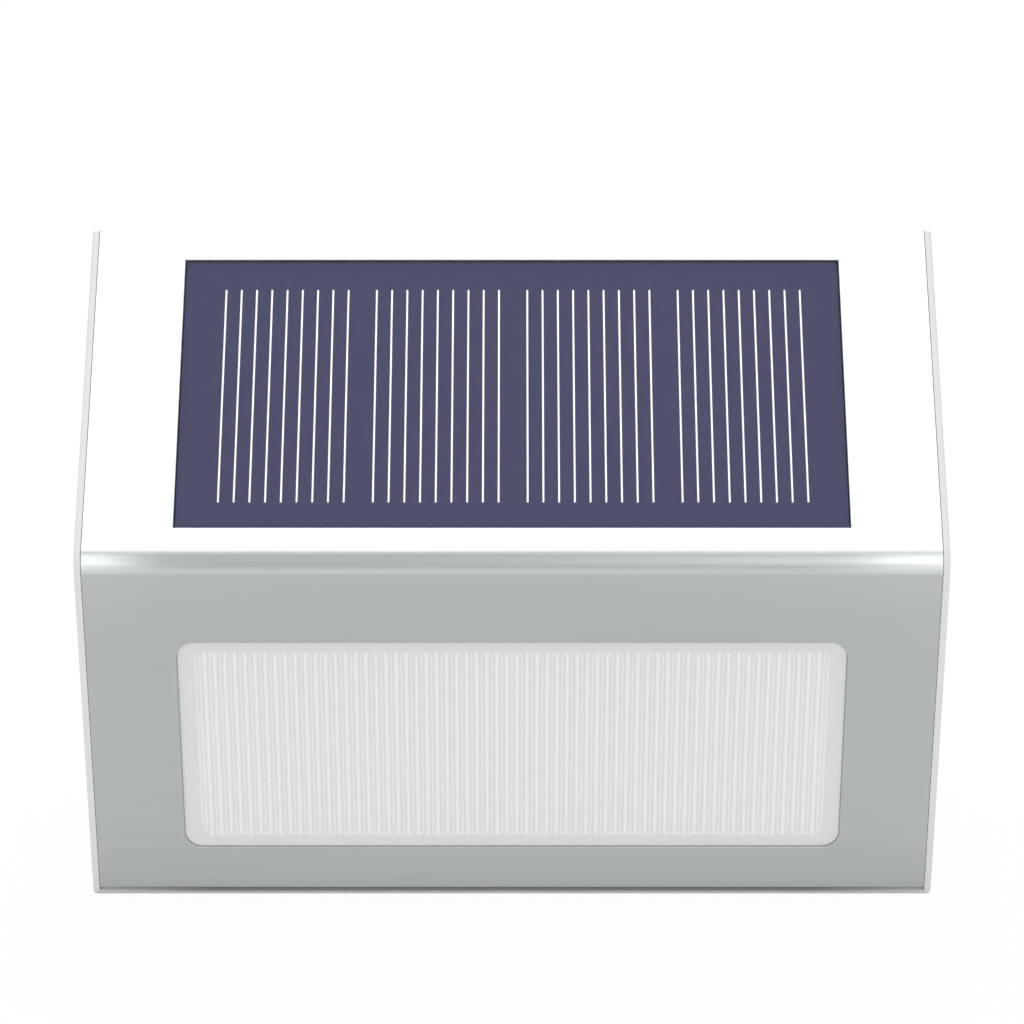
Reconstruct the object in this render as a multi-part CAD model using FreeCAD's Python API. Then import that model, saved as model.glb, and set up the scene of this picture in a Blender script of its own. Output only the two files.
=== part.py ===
"""Solar fence light: bent steel cover over a plastic shell, solar module, lens, lamp and battery.

Millimetres. +X is the light's right-hand side as seen from the front, -Y the front, +Z up.
The origin is the centre of the face that lies against the fence.
"""
import FreeCAD, Part
import math
import os

Vector = FreeCAD.Vector

# ---------------------------------------------------------------- outer form
WIDTH = 120.0                 # over both side cheeks
TOP_LENGTH = 59.5             # along the top slope, between its theoretical corners
FRONT_LENGTH = 59.5           # along the front face, between its theoretical corners
TOP_SLOPE_DEG = 35.0          # top slope above level
FRONT_LEAN_DEG = 15.0         # front face away from plumb, its foot towards the fence
FOLD_RADIUS = 3.2             # outside radius between slope and front
FOOT_RADIUS = 3.0             # outside radius under the front
REAR_RADIUS = 1.5             # outside radius at both rear bends

# ---------------------------------------------------------------- steel cover
STEEL = 0.6
LIP_HEIGHT = 4.0              # top lip that the back plate traps
STEEL_END_DEG = 19.0          # where the cover's lower edge lies round the foot, below level
FOOT_GAP = 0.8                # shadow groove between that edge and the plastic foot
FOOT_GROOVE = 1.55            # its depth below the steel's outside
EDGE_GAP = 0.05               # between a steel edge and the cheek's rim
SIDE_ROUND = 0.06             # smoothed edges of the steel beside the cheeks
WINDOW_ROUND = 0.12           # smoothed edges of its two windows
SMALLEST_BEND = 0.3           # inside radius of the sheet's tight bends
SEAT_GAP = 0.05               # between the steel's inside and the shell

# ---------------------------------------------------------------- plastic shell
RIM = 0.95                    # cheek rim that shows beside the steel
RIM_ROUND = 0.35              # rounding of the cheek's outer edge
CHEEK = 2.0                   # whole cheek
WALL = 2.0
FLANGE = 2.35                 # frame round the shell's rear opening
REAR_OPENING_WIDTH = 92.0
REAR_OPENING_LOW = 14.0       # from the base up to the opening
REAR_OPENING_HEIGHT = 58.0
REAR_OPENING_CORNER = 4.0
BOSS_RADIUS = 3.2
BOSS_LENGTH = 9.0
BOSS_INSET_X = 6.5            # from the cheek's outside to the boss axis
BOSS_ABOVE_BASE = 7.6
BOSS_ABOVE_OPENING = 4.5

# ---------------------------------------------------------------- solar module
PANEL_WIDTH = 93.0
PANEL_LENGTH = 46.4           # along the slope
PANEL_FROM_FOLD = 5.6         # from the theoretical fold to the panel's lower edge
PANEL_GAP = 0.1               # round the module, in the cover's window
PANEL_SINK = 0.1              # its face below the steel's outside
RESIN = 0.35                  # clear resin over the cells and the board
FINGER_THICKNESS = 0.05
CELL_THICKNESS = 0.3
SUBSTRATE = 1.7               # board, with the cells let into it
ADHESIVE = 0.45
ADHESIVE_INSET = 1.0          # foam tape inside the module's edge
POCKET_FLOOR = 1.6            # shell under the module
CELL_COUNT = 4
CELL_PITCH = 21.35
CELL_WIDTH = 20.6
CELL_LENGTH = 40.0
CELL_SHIFT = 0.16             # whole row of cells off the middle, to the right
FINGER_COUNT = 9              # on each cell
FINGER_PITCH = 2.167
FINGER_WIDTH = 0.25
FINGER_LENGTH = 36.8
FINGER_SHIFT = -0.3           # finger middle from panel middle, along the slope
WIRE_HOLE = 1.5               # radius

# ---------------------------------------------------------------- lens and lamp
WINDOW_WIDTH = 92.9
WINDOW_HEIGHT = 36.2
WINDOW_FROM_FOLD = 13.95      # from the theoretical fold down to the window
WINDOW_CORNER = 2.5
LENS_GAP = 0.04               # round the lens, in the cover's window
LENS_SINK = 0.35              # its border below the steel's outside
LENS_FLANGE_MARGIN = 2.2      # flange beyond the window on each side
LENS_FLANGE = 1.4
LENS_BACK = 2.15              # depth of the lens's back
PAD_WIDTH = 88.4              # ribbed field
PAD_HEIGHT = 32.4
PAD_CORNER = 1.5
PAD_SINK = 0.25               # the ribs' feet below the border
RIB_COUNT = 62
RIB_PITCH = 1.3975
RIB_WIDTH = 1.0
RIB_HEIGHT = 0.22
LENS_SEAL = 0.6
LENS_SEAL_WIDTH = 3.0
LENS_REBATE_GAP = 0.15
LENS_FRAME_FLOOR = 2.0        # shell behind the lens seal
LENS_FRAME_MARGIN = 2.2       # shell round the rebate
LIGHT_OPENING_MARGIN = 2.5    # the shell's light opening inside the window
REFLECTOR_RIM = 1.0
REFLECTOR_RIM_MARGIN = 1.5    # rim beyond the light opening
REFLECTOR_DEPTH = 6.0
REFLECTOR_WALL = 1.0
REFLECTOR_FLOOR_WIDTH = 80.0
REFLECTOR_FLOOR_HEIGHT = 15.0
REFLECTOR_TAB_X = 30.0
REFLECTOR_TAB_WIDTH = 7.0
REFLECTOR_TAB_RISE = 7.6      # tab's top above the rim
REFLECTOR_TAB_SCREW = 5.4     # screw axis above the rim
LED_COUNT = 3
LED_PITCH = 24.0
LED_RADIUS = 2.5
LED_FLANGE_RADIUS = 2.9
LED_FLANGE = 0.8
LED_HEIGHT = 3.6              # cylinder under the dome
LED_HOLE_GAP = 0.15
LED_BOARD_WIDTH = 78.0
LED_BOARD_HEIGHT = 13.0
LED_BOARD_CORNER = 1.0
BOARD = 1.6
LED_SCREW_X = 34.0
LED_SCREW_BOSS = 2.2
LED_SCREW_BOSS_LENGTH = 2.0

# ---------------------------------------------------------------- back plate
PLATE = 2.0
PLATE_TOP_DROP = 2.1          # plate's top edge below the light's top
PLATE_CORNER = 1.5
PLATE_ROUND = 0.4             # rounding of the plate's rear edge
GASKET = 1.0
GASKET_WIDTH = 2.2
GASKET_FROM_OPENING = 0.8
GASKET_GROOVE_GAP = 0.1

KEYHOLE_SPACING = 60.0
KEYHOLE_ENTRY_RADIUS = 4.25
KEYHOLE_SLOT_HALF = 2.2
KEYHOLE_RISE = 8.0            # from the entry's centre up to the slot's end centre
KEYHOLE_ABOVE_SILL = 43.1     # entry's centre above the rear opening's lower edge
POCKET_HALF_WIDTH = 5.5
POCKET_BELOW = 5.5
POCKET_ABOVE = 5.0
POCKET_DEPTH = 5.2
POCKET_WALL = 1.2

# ---------------------------------------------------------------- battery
BATTERY_RADIUS = 7.05
BATTERY_SLEEVE = 0.2
BATTERY_SLEEVE_INSET = 0.4    # bare can at each end
BATTERY_LENGTH = 49.2
BATTERY_NUB_RADIUS = 2.6
BATTERY_NUB = 1.3
BATTERY_ABOVE_SILL = 13.1     # battery axis above the rear opening's lower edge
BATTERY_GAP = 0.15            # round the battery in its bay
CONTACT = 0.4
CONTACT_WIDTH = 10.0
CONTACT_HEIGHT = 11.0
CONTACT_TAB_WIDTH = 3.0
CONTACT_TAB_RISE = 2.0        # tab above the bay's roof
CONTACT_SLOT_GAP = 0.1
LEAF_BOW = 4.6                # negative leaf spring, from the end wall to the can
LEAF_WIDTH = 6.0
LEAF_HEIGHT = 9.0
LEAF_ROOT = 0.48              # leaf's height where it leaves the contact
BAY_WALL = 1.3
BAY_CORNER = 0.5              # the door seal's corners follow this
BAY_REAR = 4.0                # from the fence plane to the battery

# ---------------------------------------------------------------- battery door
DOOR = 2.2
DOOR_SINK = 0.2               # door face below the fence plane
DOOR_GAP = 0.3                # round the door in its recess
DOOR_WIDTH = 78.0
DOOR_HEIGHT = 21.4
DOOR_CORNER = 3.0
DOOR_LEDGE = 2.4              # plate thickness under the door's edge
DOOR_LEDGE_MARGIN = 1.6
DOOR_SEAL = 0.8
DOOR_SEAL_WIDTH = 1.2
DOOR_SEAL_FROM_BAY = 0.3
DOOR_SEAL_GROOVE_GAP = 0.05
DOOR_SEAT_GAP = 0.02
DOOR_SCREW_FROM_END = 3.2
DOOR_BOSS_RADIUS = 2.4
DOOR_BOSS_LENGTH = 5.0
DOOR_GRIP_COUNT = 7
DOOR_GRIP_PITCH = 2.4
DOOR_GRIP_DEPTH = 0.5
DOOR_GRIP_WIDTH = 1.0
DOOR_GRIP_LENGTH = 9.0

# ---------------------------------------------------------------- control board and switch
CONTROL_WIDTH = 40.0
CONTROL_HEIGHT = 26.0
CONTROL_ABOVE_SILL = 40.1     # board's middle above the rear opening's lower edge
CONTROL_STANDOFF = 6.4        # between plate and board
CONTROL_SCREW_X = 16.5
STANDOFF_RADIUS = 2.4
SWITCH_X = 6.0
SWITCH_ABOVE_MIDDLE = 7.0     # above the control board's middle
SWITCH_LENGTH = 12.8
SWITCH_HEIGHT = 6.5
SWITCH_DEPTH = 5.5
SWITCH_WALL = 0.6
SWITCH_TRAVEL = 3.0
SWITCH_SLOT_GAP = 0.3
KNOB_LENGTH = 3.0
KNOB_HEIGHT = 2.4
KNOB_SINK = 0.4               # knob's tip below the fence plane
KNOB_GROOVES = 3
KNOB_GROOVE_PITCH = 0.9
KNOB_GROOVE = 0.3
SLIDER_LENGTH = 5.0
SLIDER_HEIGHT = 4.2
SLIDER_THICKNESS = 1.4
SLIDER_GAP = 0.3              # under the can's roof
SWITCH_RECESS_LENGTH = 17.0
SWITCH_RECESS_HEIGHT = 8.0
SWITCH_RECESS_DEPTH = 1.2
SWITCH_RECESS_CORNER = 2.0

CHIP_X = -3.5                 # parts on the board, from its middle
CHIP_ABOVE_MIDDLE = 1.0
CHIP_LENGTH = 4.9
CHIP_WIDTH = 3.9
CHIP_HEIGHT = 1.5
CHIP_LEGS = 4                 # on each side
LEG_PITCH = 1.27
LEG_REACH = 0.9
LEG_WIDTH = 0.4
LEG_THICKNESS = 0.3
INDUCTOR_X = 5.5
INDUCTOR_ABOVE_MIDDLE = 1.5
INDUCTOR_RADIUS = 3.0
INDUCTOR_WINDING_RADIUS = 2.5
INDUCTOR_HEIGHT = 4.5
INDUCTOR_RIM = 1.0
CAPACITOR_X = 9.0
CAPACITOR_BELOW_MIDDLE = 4.5
CAPACITOR_RADIUS = 2.0
CAPACITOR_HEIGHT = 5.0

# ---------------------------------------------------------------- screws
HOLE_GAP = 0.15               # radial, round a screw's shank
SCREW_BITE = 0.05             # radial gap in a pilot hole
PLATE_SCREW_RADIUS = 1.25
PLATE_SCREW_HEAD_RADIUS = 2.35
PLATE_SCREW_LENGTH = 9.0
PLATE_SCREW_SINK = 0.1
DOOR_SCREW_RADIUS = 1.0
DOOR_SCREW_HEAD_RADIUS = 1.9
DOOR_SCREW_LENGTH = 5.5
SMALL_SCREW_RADIUS = 0.9
SMALL_SCREW_HEAD_RADIUS = 1.7
SMALL_SCREW_HEAD = 1.1
SMALL_SCREW_LENGTH = 4.0
CROSS_WIDTH = 0.5
CROSS_SPAN = 2.4
CROSS_DEPTH = 0.7
SCREW_POINT_SHARE = 0.2       # tip radius over shank radius
PAN_ROUND_SHARE = 0.45        # head's rounding over its height
PILOT_SPARE = 0.5             # pilot hole beyond the screw's point

# ---------------------------------------------------------------- wires
WIRE_RADIUS = 0.6
WIRE_BEND_SHARE = 0.45        # how far into the shorter neighbouring run a bend reaches
SOLAR_WIRE_FROM_FOLD = 30.0
SOLAR_WIRE_X = (-14.0, -9.5)
SOLAR_WIRE_PAD = 7.0          # pads' height on the control board, from its middle
BATTERY_WIRE_X = 14.0
BATTERY_WIRE_PAD = -8.0
LED_WIRE_X = (-3.0, 3.0)
LED_WIRE_ABOVE_MIDDLE = 3.5   # on the lamp board
LED_WIRE_PAD = -10.0
WIRE_STUB = 6.0               # straight run square to the control board
LED_WIRE_STUB = 4.0           # straight run square to the lamp board

# ---------------------------------------------------------------- drawing aids
PAST = 1.0                    # cutters reach this far past what they cut
BLEND = 0.5                   # bosses start this deep in what they stand on
THROUGH = 20.0                # cutters that pass right through a wall
TINY = 0.001                  # tolerance when an edge is picked by its place

# ================================================================ derived places
TOP_SLOPE = math.radians(TOP_SLOPE_DEG)
FRONT_LEAN = math.radians(FRONT_LEAN_DEG)
TOP_RISE = TOP_LENGTH * math.sin(TOP_SLOPE)
FRONT_DROP = FRONT_LENGTH * math.cos(FRONT_LEAN)
PEAK_LOSS = REAR_RADIUS * (math.tan(TOP_SLOPE) + 1 / math.cos(TOP_SLOPE) - 1)
HEIGHT = TOP_RISE + FRONT_DROP - PEAK_LOSS
BASE_Z = -HEIGHT / 2
TOP_Z = HEIGHT / 2
PEAK_Z = BASE_Z + TOP_RISE + FRONT_DROP
COVER_BACK = -PLATE
FOLD_Y = COVER_BACK - TOP_LENGTH * math.cos(TOP_SLOPE)
FOLD_Z = BASE_Z + FRONT_DROP
FOOT_Y = FOLD_Y + FRONT_LENGTH * math.sin(FRONT_LEAN)

FOOT_CENTRE = Vector(
    0, FOOT_Y + FOOT_RADIUS * (1 - math.sin(FRONT_LEAN)) / math.cos(FRONT_LEAN), BASE_Z + FOOT_RADIUS
)

SHELL_SKIN = STEEL + SEAT_GAP
SHELL_INSIDE = SHELL_SKIN + WALL
FLANGE_REAR = COVER_BACK - SHELL_SKIN
FLANGE_FRONT = FLANGE_REAR - FLANGE
OPENING_BOTTOM = BASE_Z + REAR_OPENING_LOW
OPENING_TOP = OPENING_BOTTOM + REAR_OPENING_HEIGHT
OPENING_MIDDLE = (OPENING_BOTTOM + OPENING_TOP) / 2
RIM_INSIDE = WIDTH / 2 - RIM
STEEL_EDGE = RIM_INSIDE - EDGE_GAP

MODULE_BACK = PANEL_SINK + RESIN + SUBSTRATE + ADHESIVE
PANEL_MIDDLE = PANEL_FROM_FOLD + PANEL_LENGTH / 2
WINDOW_MIDDLE = WINDOW_FROM_FOLD + WINDOW_HEIGHT / 2
LENS_SEAT = LENS_BACK + LENS_SEAL
LENS_FRAME_BACK = LENS_SEAT + LENS_FRAME_FLOOR
FLANGE_WIDTH = WINDOW_WIDTH + 2 * LENS_FLANGE_MARGIN
FLANGE_HEIGHT = WINDOW_HEIGHT + 2 * LENS_FLANGE_MARGIN
LIGHT_WIDTH = WINDOW_WIDTH - 2 * LIGHT_OPENING_MARGIN
LIGHT_HEIGHT = WINDOW_HEIGHT - 2 * LIGHT_OPENING_MARGIN
REFLECTOR_RIM_HEIGHT = LIGHT_HEIGHT + 2 * REFLECTOR_RIM_MARGIN
REFLECTOR_BACK = LENS_FRAME_BACK + REFLECTOR_DEPTH
LED_BOARD_FRONT = REFLECTOR_BACK + LED_SCREW_BOSS_LENGTH
LED_BOARD_BACK = LED_BOARD_FRONT + BOARD
TAB_SCREW_V = REFLECTOR_RIM_HEIGHT / 2 + REFLECTOR_TAB_SCREW

BATTERY_Z = OPENING_BOTTOM + BATTERY_ABOVE_SILL
KEYHOLE_ENTRY_Z = OPENING_BOTTOM + KEYHOLE_ABOVE_SILL
CONTROL_Z = OPENING_BOTTOM + CONTROL_ABOVE_SILL
SWITCH_Z = CONTROL_Z + SWITCH_ABOVE_MIDDLE
BATTERY_BODY_RADIUS = BATTERY_RADIUS + BATTERY_SLEEVE
BATTERY_Y = -BAY_REAR - BATTERY_BODY_RADIUS
BAY_HALF_HEIGHT = BATTERY_BODY_RADIUS + BATTERY_GAP
BAY_FRONT = BATTERY_Y - BAY_HALF_HEIGHT
BAY_LENGTH = LEAF_BOW + BATTERY_LENGTH + BATTERY_NUB + 2 * CONTACT
BAY_ROOF = BATTERY_Z + BAY_HALF_HEIGHT + BAY_WALL
CAN_LEFT = -BAY_LENGTH / 2 + CONTACT + LEAF_BOW
DOOR_FACE = -DOOR_SINK
DOOR_INSIDE = DOOR_FACE - DOOR
DOOR_SEAT = DOOR_INSIDE - DOOR_SEAT_GAP
LEDGE_INSIDE = DOOR_SEAT - DOOR_LEDGE
DOOR_SCREW_X = DOOR_WIDTH / 2 - DOOR_SCREW_FROM_END
BOARD_REAR = -PLATE - CONTROL_STANDOFF
BOARD_FRONT = BOARD_REAR - BOARD
SWITCH_REAR = BOARD_REAR + SWITCH_DEPTH
KNOB_REST_X = SWITCH_X - SWITCH_TRAVEL / 2


# ================================================================ helpers
def rounded_wire(corners, radii):
    """Closed wire through the corners (in order), each rounded by its own radius."""
    count = len(corners)
    arcs = []
    for index, corner in enumerate(corners):
        before = (corners[index - 1] - corner).normalize()
        after = (corners[(index + 1) % count] - corner).normalize()
        half_angle = before.getAngle(after) / 2
        reach = radii[index] / math.tan(half_angle)
        middle = (before + after).normalize() * (radii[index] / math.sin(half_angle) - radii[index])
        arcs.append((corner + before * reach, corner + middle, corner + after * reach))
    edges = []
    for index, (start, middle, end) in enumerate(arcs):
        edges.append(Part.Arc(start, middle, end).toShape())
        edges.append(Part.LineSegment(end, arcs[(index + 1) % count][0]).toShape())
    return Part.Wire(edges)


def section(inset):
    """The light's side outline, moved in from the steel's outside by inset."""
    corners = [
        Vector(0, COVER_BACK, PEAK_Z),
        Vector(0, FOLD_Y, FOLD_Z),
        Vector(0, FOOT_Y, BASE_Z),
        Vector(0, COVER_BACK, BASE_Z),
    ]
    moved = []
    count = len(corners)
    for index, corner in enumerate(corners):
        along_in = (corner - corners[index - 1]).normalize()
        along_out = (corners[(index + 1) % count] - corner).normalize()
        inward_in = Vector(0, -along_in.z, along_in.y)
        inward_out = Vector(0, -along_out.z, along_out.y)
        bisector = (inward_in + inward_out).normalize()
        moved.append(corner + bisector * (inset / bisector.dot(inward_in)))
    outside = [REAR_RADIUS, FOLD_RADIUS, FOOT_RADIUS, REAR_RADIUS]
    return rounded_wire(moved, [max(radius - inset, SMALLEST_BEND) for radius in outside])


def slab(wire, left, right):
    """Solid of a wire in the Y-Z plane between two X values."""
    face = Part.Face(wire)
    face.translate(Vector(left, 0, 0))
    return face.extrude(Vector(right - left, 0, 0))


def box(low, high):
    size = [high[axis] - low[axis] for axis in range(3)]
    return Part.makeBox(size[0], size[1], size[2], Vector(*low))


def centred_plate(width, height, corner, low_w, high_w, centre=(0, 0)):
    """Rounded rectangle in local X-Y, between two heights along local Z."""
    left = centre[0] - width / 2
    right = centre[0] + width / 2
    bottom = centre[1] - height / 2
    top = centre[1] + height / 2
    if corner > 0:
        corners = [Vector(left, bottom), Vector(right, bottom), Vector(right, top), Vector(left, top)]
        face = Part.Face(rounded_wire(corners, [corner] * 4))
        face.translate(Vector(0, 0, low_w))
        return face.extrude(Vector(0, 0, high_w - low_w))
    return box((left, bottom, low_w), (right, top, high_w))


def local_frame(origin, up, outward):
    across = up.cross(outward)
    matrix = FreeCAD.Matrix(
        across.x, up.x, outward.x, origin.x,
        across.y, up.y, outward.y, origin.y,
        across.z, up.z, outward.z, origin.z,
        0, 0, 0, 1,
    )
    return FreeCAD.Placement(matrix)


def placed(shape, frame):
    """The shape, drawn in a face's own frame, moved to where that face is."""
    moved = shape.copy()
    moved.Placement = frame.multiply(moved.Placement)
    return moved


TOP_FRAME = local_frame(
    Vector(0, FOLD_Y + PANEL_MIDDLE * math.cos(TOP_SLOPE), FOLD_Z + PANEL_MIDDLE * math.sin(TOP_SLOPE)),
    Vector(0, math.cos(TOP_SLOPE), math.sin(TOP_SLOPE)),
    Vector(0, -math.sin(TOP_SLOPE), math.cos(TOP_SLOPE)),
)
FRONT_FRAME = local_frame(
    Vector(0, FOLD_Y + WINDOW_MIDDLE * math.sin(FRONT_LEAN), FOLD_Z - WINDOW_MIDDLE * math.cos(FRONT_LEAN)),
    Vector(0, -math.sin(FRONT_LEAN), math.cos(FRONT_LEAN)),
    Vector(0, -math.cos(FRONT_LEAN), -math.sin(FRONT_LEAN)),
)
REAR_FRAME = local_frame(Vector(0, 0, 0), Vector(0, 0, 1), Vector(0, 1, 0))


def on_top(shape):
    """Local X right, local Y up the slope from the panel's middle, local Z out of the steel."""
    return placed(shape, TOP_FRAME)


def on_front(shape):
    """Local X right, local Y up the front from the window's middle, local Z out of the steel."""
    return placed(shape, FRONT_FRAME)


def on_back(shape):
    """Local Y up and local Z towards the fence. Local X is to the left, so both sides are alike."""
    return placed(shape, REAR_FRAME)


def rounded_rim(solid, radius, on_face):
    """The solid with every edge rounded that lies wholly in one of its faces' planes."""
    return solid.makeFillet(radius, [edge for edge in solid.Edges if on_face(edge.BoundBox)])


def fuse(first, others):
    return first.multiFuse(others).removeSplitter()


def tube_along(points, radius):
    """Round tube whose straight runs are joined by tangent arcs, as large as the runs allow."""
    edges = []
    start = points[0]
    for index in range(1, len(points) - 1):
        corner = points[index]
        back = points[index - 1] - corner
        forth = points[index + 1] - corner
        turn = math.pi - back.getAngle(forth)
        reach = WIRE_BEND_SHARE * min(back.Length, forth.Length)
        bend = reach / math.tan(turn / 2)
        into = corner + back.normalize() * reach
        out = corner + forth.normalize() * reach
        towards = (back + forth).normalize()
        middle = corner + towards * (bend / math.cos(turn / 2) - bend)
        edges.append(Part.LineSegment(start, into).toShape())
        edges.append(Part.Arc(into, middle, out).toShape())
        start = out
    edges.append(Part.LineSegment(start, points[-1]).toShape())
    path = Part.Wire(edges)
    circle = Part.Circle(points[0], points[1] - points[0], radius).toShape()
    return path.makePipeShell([Part.Wire([circle])], True, False)


def cross_recess(head_height):
    """Cross slot cut down into a screw's head, whose top is at head_height."""
    bars = []
    for half_x, half_y in ((CROSS_SPAN / 2, CROSS_WIDTH / 2), (CROSS_WIDTH / 2, CROSS_SPAN / 2)):
        bars.append(box((-half_x, -half_y, head_height - CROSS_DEPTH), (half_x, half_y, head_height + 1)))
    return bars[0].fuse(bars[1])


def flat_screw(radius, head_radius, length):
    """Countersunk screw with its head's face at local Z 0 and its point at -length."""
    head_height = head_radius - radius
    head = Part.makeCone(radius, head_radius, head_height, Vector(0, 0, -head_height))
    shank = Part.makeCylinder(radius, length - head_height - radius, Vector(0, 0, -length + radius))
    point = Part.makeCone(SCREW_POINT_SHARE * radius, radius, radius, Vector(0, 0, -length))
    return fuse(head, [shank, point]).cut(cross_recess(0))


def countersink(radius, head_radius):
    """Cutter for a flat screw's head and shank."""
    head_height = head_radius - radius
    gap = HOLE_GAP
    depth = PLATE + DOOR
    cone = Part.makeCone(radius + gap, head_radius + gap, head_height, Vector(0, 0, -head_height))
    mouth = Part.makeCylinder(head_radius + gap, PAST)
    shank = Part.makeCylinder(radius + gap, depth, Vector(0, 0, -depth))
    return cone.fuse([mouth, shank])


def pan_screw(radius, head_radius, head_height, length):
    """Round-headed screw whose head sits on local Z 0, with its point at -length."""
    head = Part.makeCylinder(head_radius, head_height)
    rim = max(head.Edges, key=lambda edge: edge.BoundBox.ZMin)
    head = head.makeFillet(PAN_ROUND_SHARE * head_height, [rim])
    shank = Part.makeCylinder(radius, length - radius, Vector(0, 0, -length + radius))
    point = Part.makeCone(SCREW_POINT_SHARE * radius, radius, radius, Vector(0, 0, -length))
    return fuse(head, [shank, point]).cut(cross_recess(head_height))


def group(solids):
    return solids[0] if len(solids) == 1 else Part.Compound(solids)


def at(shape, x, y, z=0.0):
    moved = shape.copy()
    moved.translate(Vector(x, y, z))
    return moved


# ================================================================ places that repeat
def plate_screw_places():
    x = WIDTH / 2 - BOSS_INSET_X
    heights = (BASE_Z + BOSS_ABOVE_BASE, OPENING_TOP + BOSS_ABOVE_OPENING)
    return [(side * x, z) for side in (-1, 1) for z in heights]


def led_places():
    return [(index - (LED_COUNT - 1) / 2) * LED_PITCH for index in range(LED_COUNT)]


def cell_places():
    return [CELL_SHIFT + (index - (CELL_COUNT - 1) / 2) * CELL_PITCH for index in range(CELL_COUNT)]


def finger_places():
    offsets = [(index - (FINGER_COUNT - 1) / 2) * FINGER_PITCH for index in range(FINGER_COUNT)]
    return [cell + offset for cell in cell_places() for offset in offsets]


# ================================================================ steel cover
def past_foot_edge(gap):
    """Everything under and behind the cover's lower edge, starting a gap past it."""
    region = box((-WIDTH, gap, -WIDTH), (WIDTH, WIDTH, WIDTH))
    region.rotate(Vector(0, 0, 0), Vector(1, 0, 0), STEEL_END_DEG - 90)
    region.translate(FOOT_CENTRE)
    return region


def window_rim(solid, frame, width, height):
    """The edges round a window's mouth, in the plane of the face that it is cut in."""
    to_face = frame.inverse()
    rim = []
    for edge in solid.Edges:
        ends = [to_face.multVec(vertex.Point) for vertex in edge.Vertexes]
        beside = [abs(end.x) < width / 2 + TINY and abs(end.y) < height / 2 + TINY for end in ends]
        if all(beside) and all(abs(end.z) < TINY for end in ends):
            rim.append(edge)
    return rim


def steel_cover():
    cover = slab(section(0), -STEEL_EDGE, STEEL_EDGE)
    side_rims = [edge for edge in cover.Edges if edge.BoundBox.XLength < TINY]
    cover = cover.makeFillet(SIDE_ROUND, side_rims)
    cover = cover.cut(slab(section(STEEL), -STEEL_EDGE - PAST, STEEL_EDGE + PAST))
    below_lip = box(
        (-WIDTH, COVER_BACK - STEEL - BLEND, BASE_Z - PAST),
        (WIDTH, COVER_BACK + PAST, TOP_Z - LIP_HEIGHT),
    )
    panel_window = centred_plate(PANEL_WIDTH, PANEL_LENGTH, 0, -STEEL - PAST, PAST)
    lens_window = centred_plate(WINDOW_WIDTH, WINDOW_HEIGHT, WINDOW_CORNER, -STEEL - PAST, PAST)
    cover = cover.cut([past_foot_edge(0), below_lip, on_top(panel_window), on_front(lens_window)])
    rims = window_rim(cover, TOP_FRAME, PANEL_WIDTH, PANEL_LENGTH)
    rims += window_rim(cover, FRONT_FRAME, WINDOW_WIDTH, WINDOW_HEIGHT)
    return cover.makeFillet(WINDOW_ROUND, rims)


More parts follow.
